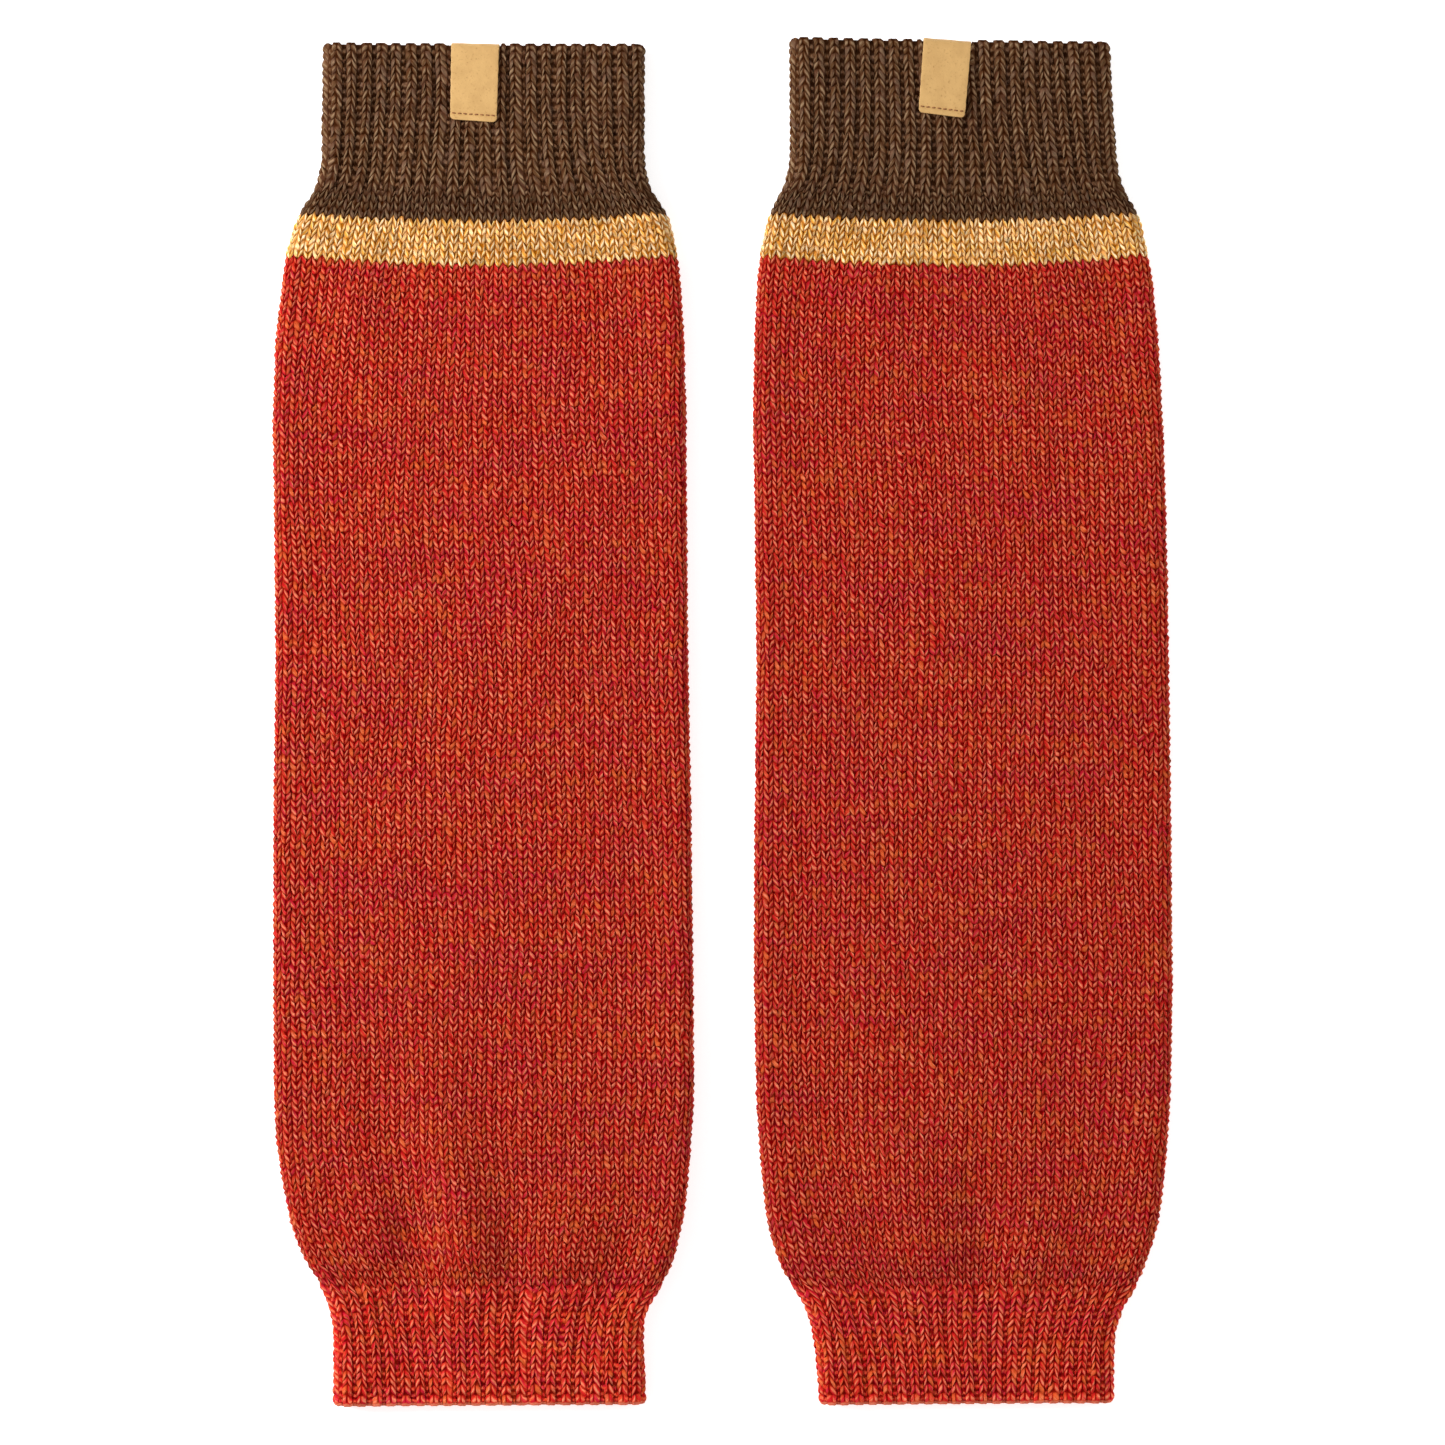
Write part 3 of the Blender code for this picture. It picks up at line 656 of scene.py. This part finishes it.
def leg_pieces(knit, name):
    """The long leg: its upper and lower halves and its inside, as three sheets."""
    side_wales = 1
    front = np.arange(side_wales * COLUMNS, (HALF_WALES - side_wales) * COLUMNS + 1)
    back = np.arange((HALF_WALES - side_wales) * COLUMNS, (WALES + side_wales) * COLUMNS + 1)
    made = []
    for part, columns, per_row in (("front", front, STEPS), ("back", back, BACK_STEPS)):
        steps = np.arange(LEG_ROWS[0] * per_row, LEG_ROWS[1] * per_row + 1)
        wider = np.concatenate([columns[:1] - 1, columns, columns[-1:] + 1])
        points, shares = knit.points(wider, steps, per_row)
        normals = grid_normals(points)
        points, shares = points[:, 1:-1], shares[:, 1:-1]
        if part == "front":  # its edges follow the coarser rows of the back
            for edge in (0, -1):
                points[1::2, edge] = 0.5 * (points[:-1:2, edge] + points[2::2, edge])
        u, v = columns / COLUMNS, steps / per_row
        made.append(new_mesh(knit.warmer, name + "_" + part, points, shares, False, (u, v), v, 0.002,
                             normals))

    levels = np.linspace(level_at(LEG_ROWS[0]), level_at(LEG_ROWS[1]), 48)
    points = inside_rings(knit.warmer, levels, np.arange(WALES, dtype=float), LEG_WALL)[:, ::-1]
    u, v = np.arange(WALES + 1, dtype=float), row_at(levels)
    shares = np.full((*points.shape[:2], 2), INSIDE_SHARE)
    made.append(new_mesh(knit.warmer, name + "_inside", points, shares, True, (u, v), v, 0.004))
    return made


class Nodes:
    """Short calls that build a material."""

    def __init__(self, name):
        self.material = bpy.data.materials.new(name)
        self.material.use_nodes = True
        self.tree = self.material.node_tree
        self.shader = self.tree.nodes["Principled BSDF"]

    def fill(self, node, inputs):
        """Sets a node's inputs: links an output, or puts in a number or a colour."""
        for key, value in inputs.items():
            if isinstance(value, bpy.types.NodeSocket):
                self.tree.links.new(value, node.inputs[key])
            else:
                node.inputs[key].default_value = (*value, 1.0) if isinstance(value, tuple) else value

    def add(self, kind, inputs, output=0, **options):
        """The output of a new node, its options set first and then its inputs."""
        node = self.tree.nodes.new("ShaderNode" + kind)
        for option, value in options.items():
            setattr(node, option, value)
        self.fill(node, inputs)
        return node.outputs[output]

    def math(self, operation, *values):
        return self.add("Math", dict(enumerate(values)), operation=operation)

    def times(self, a, b):
        return self.math("MULTIPLY", a, b)

    def minus(self, a, b):
        return self.math("SUBTRACT", a, b)

    def scaled(self, a, factor, offset):
        """a * factor + offset."""
        return self.math("MULTIPLY_ADD", a, factor, offset)

    def most(self, first, *others):
        """The largest of some values."""
        for other in others:
            first = self.math("MAXIMUM", first, other)
        return first

    def between(self, share, a, b):
        """a where share is 0, b where it is 1."""
        return self.math("ADD", self.times(a, self.minus(1.0, share)), self.times(b, share))

    def smooth(self, value, low, high, to_low=0.0, to_high=1.0):
        inputs = {"Value": value, "From Min": low, "From Max": high, "To Min": to_low, "To Max": to_high}
        return self.add("MapRange", inputs, interpolation_type="SMOOTHSTEP")

    def mix(self, share, a, b, blend="MIX"):
        """A colour from a to b. Inputs 6 and 7 and output 2 of the node are those for colours."""
        return self.add("Mix", {0: share, 6: a, 7: b}, 2, data_type="RGBA", blend_type=blend)

    def noise(self, vector, scale, detail, roughness=0.5):
        inputs = {"Vector": vector, "Scale": scale, "Detail": detail, "Roughness": roughness}
        return self.add("TexNoise", inputs)

    def white(self, vector):
        """A random value for each whole place."""
        return self.add("TexWhiteNoise", {"Vector": vector}, noise_dimensions="3D")

    def join(self, x, y, z):
        return self.add("CombineXYZ", {0: x, 1: y, 2: z})

    def finish(self, colour, roughness, height, distance):
        """Sets the shader's colour, roughness and bump, which is distance metres deep."""
        bump = self.add("Bump", {"Height": height, "Distance": distance})
        self.fill(self.shader, {"Base Color": colour, "Roughness": roughness, "Normal": bump})
        return self.material


def srgb(red, green, blue):
    """Linear colour from the usual 0 to 255 values."""
    return tuple((c / 255 / 12.92) if c <= 10 else ((c / 255 + 0.055) / 1.055) ** 2.4
                 for c in (red, green, blue))


# deep is the painted shade in the gaps, base and second are the two plies', bright the painted highlight
# of the lit strands', odd that of some darker stretches and fleck that of single fibres and legs
Palette = namedtuple("Palette", "deep base second bright odd fleck")
RED = Palette(srgb(130, 0, 0), srgb(198, 28, 31), srgb(206, 60, 33), srgb(224, 124, 94),
              srgb(200, 32, 60), srgb(204, 110, 46))
BROWN = Palette(srgb(56, 22, 0), srgb(93, 60, 36), srgb(107, 75, 49), srgb(152, 120, 92),
                srgb(86, 57, 43), srgb(112, 88, 74))
GOLD = Palette(srgb(172, 98, 8), srgb(239, 163, 62), srgb(249, 200, 122), srgb(253, 224, 188),
               srgb(228, 144, 48), srgb(250, 206, 150))
YARNS = {
    # palette, place in the noise, how much legs differ, how much stretches of yarn do, and
    # how much fuller in colour the painted shade on its flanks is than its crest
    "red": (RED, 1.5, 0.8, 0.28, 0.5),
    "brown": (BROWN, 11.5, 0.9, 0.1, 0.30),
    "gold": (GOLD, 23.5, 1.5, 0.75, 0.3),
}
FLANK_PAINTED_SHADE = 0.10  # painted shade: how much darker the yarn's flanks are
RIM_PALE = 0.60  # painted light: how far the ankle's edge turns pale
RIM_PALER = 1.60  # how much paler that is than bright
RIM_GAPS = 0.6  # and how much of its painted gap shade it loses
YARN_BUMP = 0.00028  # m


def stitch_place(n):
    """Where a point lies in its stitch, from the yarn map and the vertices' attributes.

    side and phase run from 0 to 1 across and up the stitch, out is 0 at its middle line and 1
    at its sides, and from_row is 0 at its foot and head. leg and row number the yarn's legs.
    """
    yarn_map = n.add("UVMap", {}, uv_map="yarn")
    u = n.add("SeparateXYZ", {0: yarn_map}, "X")
    v = n.add("SeparateXYZ", {0: yarn_map}, "Y")
    side = n.math("FRACT", u)
    phase = n.math("FRACT", v)
    purl = n.math("FLOORED_MODULO", n.math("FLOOR", u), 2.0)
    rib = n.add("Attribute", {}, "Fac", attribute_name="rib")
    return SimpleNamespace(
        side=side, phase=phase, purl=purl, rib=rib,
        out=n.math("ABSOLUTE", n.scaled(side, 2.0, -1.0)),
        leg=n.math("FLOOR", n.times(u, 2.0)),
        row=n.math("FLOOR", v),
        from_row=n.math("MINIMUM", phase, n.minus(1.0, phase)),
        in_gutter=n.times(purl, rib),
        shade_and_tone=n.add("Attribute", {}, "Fac", attribute_name="shade_and_tone"))


def hole(n, across, wide, up, tall, edge=1.2, full=0.6):
    """1 within a rounded corner of a given width and height, 0 outside it."""
    return n.smooth(n.scaled(across, 1.0 / wide, n.times(up, 1.0 / tall)), edge, full)


def painted_gap_shade(n, at, shift):
    """Painted shade in the gaps, by how far a point is down one: a line between rows, one between wales,
    a hole in each V.
    """
    between_rows = n.smooth(at.from_row, 0.15, 0.0)
    uneven = n.scaled(n.white(n.join(at.leg, at.row, shift + 7.0)), 0.9, 0.4)
    middle_line = n.times(n.smooth(at.out, 0.22, 0.02), uneven)
    plain = n.most(n.times(between_rows, 0.5),
                   n.times(middle_line, 0.85),
                   n.times(n.smooth(at.out, 0.80, 0.98), n.times(uneven, 0.8)),
                   hole(n, n.minus(1.0, at.out), 0.44, at.from_row, 0.32))
    knit = n.most(n.times(between_rows, 0.3),
                  n.times(middle_line, 0.8),
                  n.times(n.smooth(at.out, 0.78, 0.98), 0.7),
                  n.times(hole(n, at.out, 0.42, at.from_row, 0.30), 0.85))
    off_centre = n.math("ABSOLUTE", n.minus(at.side, 0.5))
    purl = n.times(hole(n, off_centre, 1.3, at.from_row, 0.34, 1.1, 0.55), 0.62)
    gap = n.between(at.rib, plain, n.between(at.purl, knit, purl))
    return n.times(gap, n.smooth(at.shade_and_tone, 1.38, 1.55, 1.0, 0.4))


def dye_drift(n, at, shift):
    """How light the dye is, in short and long stretches along a row of stitches."""
    short = n.noise(n.join(n.times(at.leg, 0.10), n.times(at.row, 1.07), shift), 1.0, 2.0, 0.6)
    broad_at = n.join(n.times(at.leg, 0.035), n.times(at.row, 0.31), shift + 11.0)
    return n.scaled(n.minus(n.noise(broad_at, 1.0, 2.0, 0.6), 0.5), 0.7, short)


def yarn_strands(n, at, shift):
    """The plies, which wind along the leg, the fibres in them, and two random values of each leg."""
    leg_start = n.white(n.join(at.leg, at.row, shift + 3.0))
    wind = n.scaled(at.out, 0.55, n.scaled(at.phase, 1.0, leg_start))
    fibre_at = n.join(n.times(n.math("ADD", at.out, at.leg), 1.6), n.scaled(wind, 4.5, at.row), shift)
    return SimpleNamespace(
        leg_light=n.white(n.join(at.leg, at.row, shift)), leg_start=leg_start,
        ply=n.scaled(n.math("SINE", n.times(wind, 2.0 * math.pi)), 0.5, 0.5),
        fibre=n.noise(fibre_at, 1.6, 3.0, 0.65),
        strand=n.noise(fibre_at, 3.1, 2.0, 0.6))


def yarn_colour(n, at, yarn, palette, lively):
    """The marled colour of the yarn with its painted highlights, before its tone and painted shade."""
    second_share = n.smooth(n.scaled(yarn.ply, 0.75, n.times(yarn.dye, 0.5)), 0.42, 0.82)
    colour = n.mix(second_share, palette.base, palette.second)
    odd_share = n.times(n.smooth(yarn.dye, 0.52, 0.36), n.smooth(yarn.ply, 0.75, 0.25))
    colour = n.mix(n.times(odd_share, 0.7), colour, palette.odd)

    # single fibres have the fleck's colour, and here and there a whole leg, more in light dye
    out_of_gap = n.smooth(yarn.gap, 0.5, 0.0)
    fleck_share = n.times(n.smooth(yarn.strand, 0.57, 0.70, 0.0, 0.55), out_of_gap)
    colour = n.mix(fleck_share, colour, palette.fleck)
    leg_pick = n.scaled(n.minus(yarn.dye, 0.5), 0.7, yarn.leg_start)
    colour = n.mix(n.smooth(leg_pick, 0.80, 0.95, 0.0, 0.42), colour, palette.fleck)

    # painted highlights on the lit strands, most on the leg's crest and less in the gutters of the rib
    shine = n.scaled(yarn.leg_light, 0.24 * lively, n.scaled(yarn.ply, 0.30, yarn.fibre))
    lit = n.smooth(shine, 0.52 + 0.12 * lively, 0.92 + 0.12 * lively)
    lit = n.times(n.times(lit, out_of_gap), n.scaled(at.in_gutter, -0.5, 1.0))
    return n.mix(n.times(lit, n.scaled(yarn.crest, 0.65, 0.2)), colour, palette.bright)


def yarn_tone_and_shade(n, at, yarn, lively, patchy, flank_shade_fullness):
    """What the colour is multiplied by, random tone and painted light and shade: red by the first value,
    green and blue by the second.
    """
    tone = n.scaled(yarn.leg_start, 0.16 * lively, 1.0 - 0.08 * lively)
    # painted light on each leg's crest
    tone = n.times(tone, n.scaled(yarn.crest, 0.16, 0.90))
    tone = n.math("ADD", tone, n.times(n.minus(yarn.dye, 0.5), patchy))
    # painted light and shade: each stitch's right leg lighter than its left leg
    tone = n.times(tone, n.smooth(at.side, 0.40, 0.48, 0.92, 1.05))
    tone = n.times(tone, n.scaled(yarn.fibre, 0.5, 0.75))
    # painted light and shade, with some plain tone, from the vertices' attribute
    tone = n.times(tone, n.math("MINIMUM", at.shade_and_tone, SHADE_AND_TONE_MOST))
    # painted shade on the yarn's flanks and in the rib's gutters, deeper in green and blue than in red
    flank_shade = n.most(n.smooth(n.math("ABSOLUTE", n.minus(at.out, 0.5)), 0.12, 0.46),
                   n.smooth(yarn.crest, 0.7, 0.0),
                   n.times(at.in_gutter, 0.6))
    full = n.times(tone, n.scaled(flank_shade, -flank_shade_fullness, 1.0 + 0.5 * flank_shade_fullness))
    return n.times(tone, n.scaled(flank_shade, -FLANK_PAINTED_SHADE, 1.0 + 0.5 * FLANK_PAINTED_SHADE)), full


def yarn_material(name, palette, shift, lively, patchy, flank_shade_fullness):
    """Two-ply marled wool in the shape of the stitches' legs, with painted highlights and painted shade.
    """
    n = Nodes(name)
    at = stitch_place(n)
    yarn = yarn_strands(n, at, shift)
    yarn.gap = painted_gap_shade(n, at, shift)
    yarn.dye = dye_drift(n, at, shift)
    yarn.crest = n.smooth(at.from_row, 0.12, 0.42)
    colour = yarn_colour(n, at, yarn, palette, lively)
    tone, full = yarn_tone_and_shade(n, at, yarn, lively, patchy, flank_shade_fullness)
    colour = n.mix(1.0, colour, n.join(tone, full, full), "MULTIPLY")

    # painted light: the ankle's last row rounds over into a paler, unbroken edge
    rim_light_share = n.smooth(at.shade_and_tone, SHADE_AND_TONE_MOST, PAINTED_LIGHT_RIM)
    # painted shade in the gaps, less on the ankle's edge
    gap = n.times(yarn.gap, n.scaled(rim_light_share, -RIM_GAPS, 1.0))
    colour = n.mix(gap, colour, palette.deep)
    pale = tuple(min(channel * RIM_PALER, 1.0) for channel in palette.bright)
    colour = n.mix(n.times(rim_light_share, RIM_PALE), colour, pale)

    n.fill(n.shader, {"Specular IOR Level": 0.015, "Sheen Weight": 0.01, "Sheen Roughness": 0.4,
                      "Sheen Tint": palette.bright})
    height = n.scaled(gap, -1.0, n.scaled(yarn.ply, 0.35, n.times(yarn.fibre, 0.5)))
    return n.finish(colour, 0.95, height, YARN_BUMP)


def leather_material():
    """Tan leather with fine dark grain."""
    n = Nodes("label_leather")
    place = n.add("TexCoord", {}, "Object")
    grain = n.noise(place, 1400.0, 3.0, 0.6)
    mottle = n.noise(place, 260.0, 3.0, 0.55)
    colour = n.mix(n.smooth(mottle, 0.3, 0.7), srgb(208, 164, 102), srgb(218, 174, 110))
    colour = n.mix(n.smooth(grain, 0.56, 0.75, 0.0, 0.6), colour, srgb(168, 120, 64))
    n.fill(n.shader, {"Specular IOR Level": 0.35})
    return n.finish(colour, n.smooth(grain, 0.2, 0.8, 0.52, 0.72), grain, 0.00006)


def thread_material():
    """Brown sewing thread."""
    n = Nodes("label_thread")
    strand = n.noise(n.add("TexCoord", {}, "Object"), 2600.0, 2.0)
    colour = n.mix(n.smooth(strand, 0.35, 0.65), srgb(120, 72, 34), srgb(160, 104, 58))
    return n.finish(colour, 0.7, strand, 0.00003)


def label_path():
    """Points down the label's inner face from its front foot over the fold to its back end.

    Each is (y, z, angle of its outward side, run from the foot); y = 0 is the fold's top.
    """
    thick = float(along(BODY, BODY_THICK, LENGTH))
    front_z = thick + RIB_RISE + LABEL_CLEAR
    back_z = thick - RIB_WALL - LABEL_CLEAR
    half_gap = 0.5 * (front_z - back_z)
    middle_z = 0.5 * (front_z + back_z)
    fold_y = -LABEL_THICK - LABEL_FOLD
    corner = [LABEL_CORNER * (1.0 - math.cos(a)) for a in np.linspace(0.0, 0.5 * math.pi, 8)]
    plain = list(np.linspace(LABEL_CORNER, LABEL_FRONT + fold_y, 60)[1:-1])
    path = [(run - LABEL_FRONT, front_z, 0.0, run) for run in corner + plain]
    for angle in np.linspace(0.0, math.pi, 17):
        path.append((fold_y + LABEL_FOLD * math.sin(angle), middle_z + half_gap * math.cos(angle),
                     angle, LABEL_FRONT))
    for y in np.linspace(fold_y, -LABEL_BACK, 16)[1:]:
        path.append((y, back_z, math.pi, LABEL_FRONT))
    return path


def label_section(half_wide, half_thick):
    """The strip's cross-section, across and outward from its middle, with rounded edges."""
    corner = [(math.cos(a), math.sin(a)) for a in np.linspace(0.0, 0.5 * math.pi, 4)]
    wide = np.linspace(-1.0, 1.0, 15)[1:-1]
    x, t, r = half_wide - EDGE_ROUND, half_thick - EDGE_ROUND, EDGE_ROUND
    section = [(x + r * a, t + r * b) for a, b in corner]
    section += [(x * w, half_thick) for w in wide[::-1]]
    section += [(-x - r * b, t + r * a) for a, b in corner]
    section += [(-x - r * a, -t - r * b) for a, b in corner]
    section += [(x * w, -half_thick) for w in wide]
    return section + [(x + r * b, -t - r * a) for a, b in corner]


def foot_drop(x, run, lower):
    """How far the label's points hang below its path, most at its slanting foot (mm)."""
    return (1.0 - run / LABEL_FRONT) * (lower + LABEL_SLANT * x)


def solid_mesh(name, solids):
    """One mesh of closed solids, each given as rings of points in millimetres."""
    verts, faces = [], []
    for rings in solids:
        count = len(rings[0])
        first = len(verts)
        verts += [(x * MM, y * MM, z * MM) for ring in rings for x, y, z in ring]
        last = len(verts) - count
        for start in range(first, last, count):
            for k in range(count):
                j = (k + 1) % count
                faces.append((start + k, start + count + k, start + count + j, start + j))
        faces.append(tuple(range(first, first + count)))
        faces.append(tuple(range(last, last + count))[::-1])
    mesh = bpy.data.meshes.new(name)
    mesh.from_pydata(verts, [], faces)
    mesh.shade_smooth()
    return mesh


def label_mesh(name, seed, lower):
    """Leather strip with a pressed-in line where it is sewn.

    lower is how many millimetres its foot hangs below its solid's.
    """
    half_thick = 0.5 * LABEL_THICK
    rings = []
    for y, z, angle, run in label_path():
        cut = max(LABEL_CORNER - run, 0.0)
        half = 0.5 * LABEL_SHOWN - (LABEL_CORNER - math.sqrt(LABEL_CORNER ** 2 - cut ** 2))
        half -= 0.5 * LABEL_TAPER * (1.0 - run / LABEL_FRONT)
        half += LABEL_WAVER * math.sin(run * 1.7 + seed)
        pressed = 0.0
        if angle == 0.0:
            pressed = GROOVE_DEPTH * math.exp(-((run - STITCH_LINE) / GROOVE_WIDTH) ** 2)
            pressed -= PUFF_RISE * math.exp(-((run - STITCH_LINE * 0.5) / PUFF_WIDTH) ** 2)
        ring = []
        for x, t in label_section(half, half_thick):
            soft = 0.04 * math.sin(x * 0.8 + run * 0.5 + seed)
            depth = t + half_thick + (soft - pressed if t > 0 else 0.0)
            ring.append((x, y - foot_drop(x, run, lower) + depth * math.sin(angle),
                         z + depth * math.cos(angle)))
        rings.append(ring)

    mesh = solid_mesh(name, [rings])
    mesh.set_sharp_from_angle(angle=math.radians(50))
    return mesh


def stitch_mesh(name, seed, lower):
    """The short stitches of thread that hold the label, each bent down into its two holes."""
    rng = np.random.default_rng(SEED + 50 + int(seed * 10))
    top = float(along(BODY, BODY_THICK, LENGTH)) + RIB_RISE + LABEL_CLEAR + LABEL_THICK
    pitch = (LABEL_SHOWN - LABEL_TAPER - STITCH_MARGIN) / STITCHES
    turns = [-2.0 * math.pi * k / THREAD_SIDES for k in range(THREAD_SIDES)]
    stitches = []
    for number in range(STITCHES):
        centre = (number + 0.5 - STITCHES / 2) * pitch
        tilt = rng.uniform(-0.10, 0.10)
        rings = []
        for share in np.linspace(-1.0, 1.0, THREAD_RINGS):
            x = centre + share * 0.5 * STITCH_LONG * pitch
            y = STITCH_LINE - LABEL_FRONT - foot_drop(x, STITCH_LINE, lower) + tilt * share
            z = top - THREAD_SINK + 0.20 * math.cos(0.5 * math.pi * share) - THREAD_SINK * share ** 6
            thick = THREAD_THICK * (1.0 - 0.35 * abs(share) ** 3)
            rings.append([(x, y + 0.5 * thick * math.cos(turn), z + 0.4 * thick * math.sin(turn))
                          for turn in turns])
        stitches.append(rings)
    return solid_mesh(name, stitches)


def label_pieces(warmer, origin, materials):
    """The folded label and its stitches, at their place on the cuff's rim."""
    side = warmer.side
    seed = warmer.number * 2.1
    top = LENGTH + warmer.rim_rise + warmer.rim_tilt * warmer.label_across
    top += RIB_SCALLOP - LABEL_BELOW_RIM
    turn = Matrix.Rotation(-math.radians(warmer.label_lean), 4, "Z")
    place = Matrix.Translation(Vector((warmer.label_across * MM, top * MM, 0.0))) @ turn
    mesh = label_mesh(side + "_label_strip", seed, warmer.label_lower)
    mesh.transform(place)
    piece = add_piece(mesh, materials["leather"], origin, "label_leather", side + "_label")
    mesh = stitch_mesh(side + "_label_stitches", seed, warmer.label_lower)
    mesh.transform(place)
    add_piece(mesh, materials["thread"], origin, "label_leather")


def tube_origin(warmer):
    """Where a tube's middle line meets its ankle end, found from its leg's box in the frame."""
    leg_low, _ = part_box(warmer.side + "_leg")
    leg_levels = np.linspace(60.0, 330.0, 400)
    reach_left = float(np.max(along(warmer.outline, OUTLINE_LEFT, leg_levels)))
    foot = leg_low[1] - (ANKLE_SEAM + 0.5 * SEAM_GAP) * MM
    return Vector((leg_low[0] + reach_left * MM, foot, 0.0))


def add_cloth(mesh, material, origin, slot, node):
    """A knitted piece at its tube's place, in place of a CAD node."""
    piece = add_piece(mesh, material, origin, slot, node)


def build_warmer(warmer, materials):
    """All the pieces of one leg warmer."""
    side = warmer.side
    knit = Knit(warmer)
    origin = tube_origin(warmer)
    red = materials["red"]

    mesh = ring_piece(knit, side + "_ankle_rib", ANKLE_ROWS, -1)
    add_cloth(mesh, red, origin, "leg_yarn", side + "_ankle")
    for mesh, share in zip(leg_pieces(knit, side + "_leg"), (0.5, 0.5, 1.0)):
        add_cloth(mesh, red, origin, "leg_yarn", side + "_leg")
    mesh = ring_piece(knit, side + "_stripe_band", STRIPE_ROWS, 0)
    add_cloth(mesh, materials["gold"], origin, "stripe_yarn", side + "_stripe")
    mesh = ring_piece(knit, side + "_cuff_rib", CUFF_ROWS, 1)
    add_cloth(mesh, materials["brown"], origin, "brown_rib", side + "_cuff")
    label_pieces(warmer, origin, materials)


def build_floor():
    """Plain pale floor."""
    mesh = bpy.data.meshes.new("floor")
    half = FLOOR_SIDE / 2.0
    mesh.from_pydata([(-half, -half, 0), (half, -half, 0), (half, half, 0), (-half, half, 0)], [],
                     [(0, 1, 2, 3)])
    floor = new_object("floor", mesh)
    floor.location.z = -FLOOR_BELOW * MM
    n = Nodes("floor_paper")
    n.fill(n.shader, {"Base Color": (FLOOR_GREY,) * 3, "Roughness": 0.9,
                      "Emission Color": (1.0, 1.0, 1.0), "Emission Strength": FLOOR_GLOW})
    mesh.materials.append(n.material)


def build_lights():
    """Soft lamps that face the part's middle, and an even white world."""
    for name, watts, size, place in LAMPS:
        data = bpy.data.lights.new(name, "AREA")
        data.energy = watts
        data.size = size
        lamp = new_object(name, data)
        lamp.location = place
        lamp.rotation_euler = (-Vector(place)).to_track_quat("-Z", "Y").to_euler()
    world = bpy.data.worlds.new("studio")
    world.use_nodes = True
    background = world.node_tree.nodes["Background"]
    background.inputs["Color"].default_value = (1.0, 1.0, 1.0, 1.0)
    background.inputs["Strength"].default_value = WORLD_LIGHT
    bpy.context.scene.world = world
    bpy.context.scene.view_settings.view_transform = "Standard"


def build_camera():
    """The camera straight above, at the photograph's scale."""
    data = bpy.data.cameras.new("camera")
    data.lens = LENS
    data.sensor_width = SENSOR
    data.clip_end = 50.0
    camera = new_object("camera", data)
    seen = PHOTO_SIDE * PHOTO_SCALE * MM
    camera.location = (0.0, CAMERA_BELOW_MIDDLE * MM, seen * LENS / SENSOR + SCALE_LEVEL * MM)
    bpy.context.scene.camera = camera


build_floor()
build_lights()
build_camera()
MATERIALS = {yarn: yarn_material(yarn + "_yarn", *settings) for yarn, settings in YARNS.items()}
MATERIALS["leather"] = leather_material()
MATERIALS["thread"] = thread_material()
for leg_warmer in WARMERS:
    build_warmer(leg_warmer, MATERIALS)
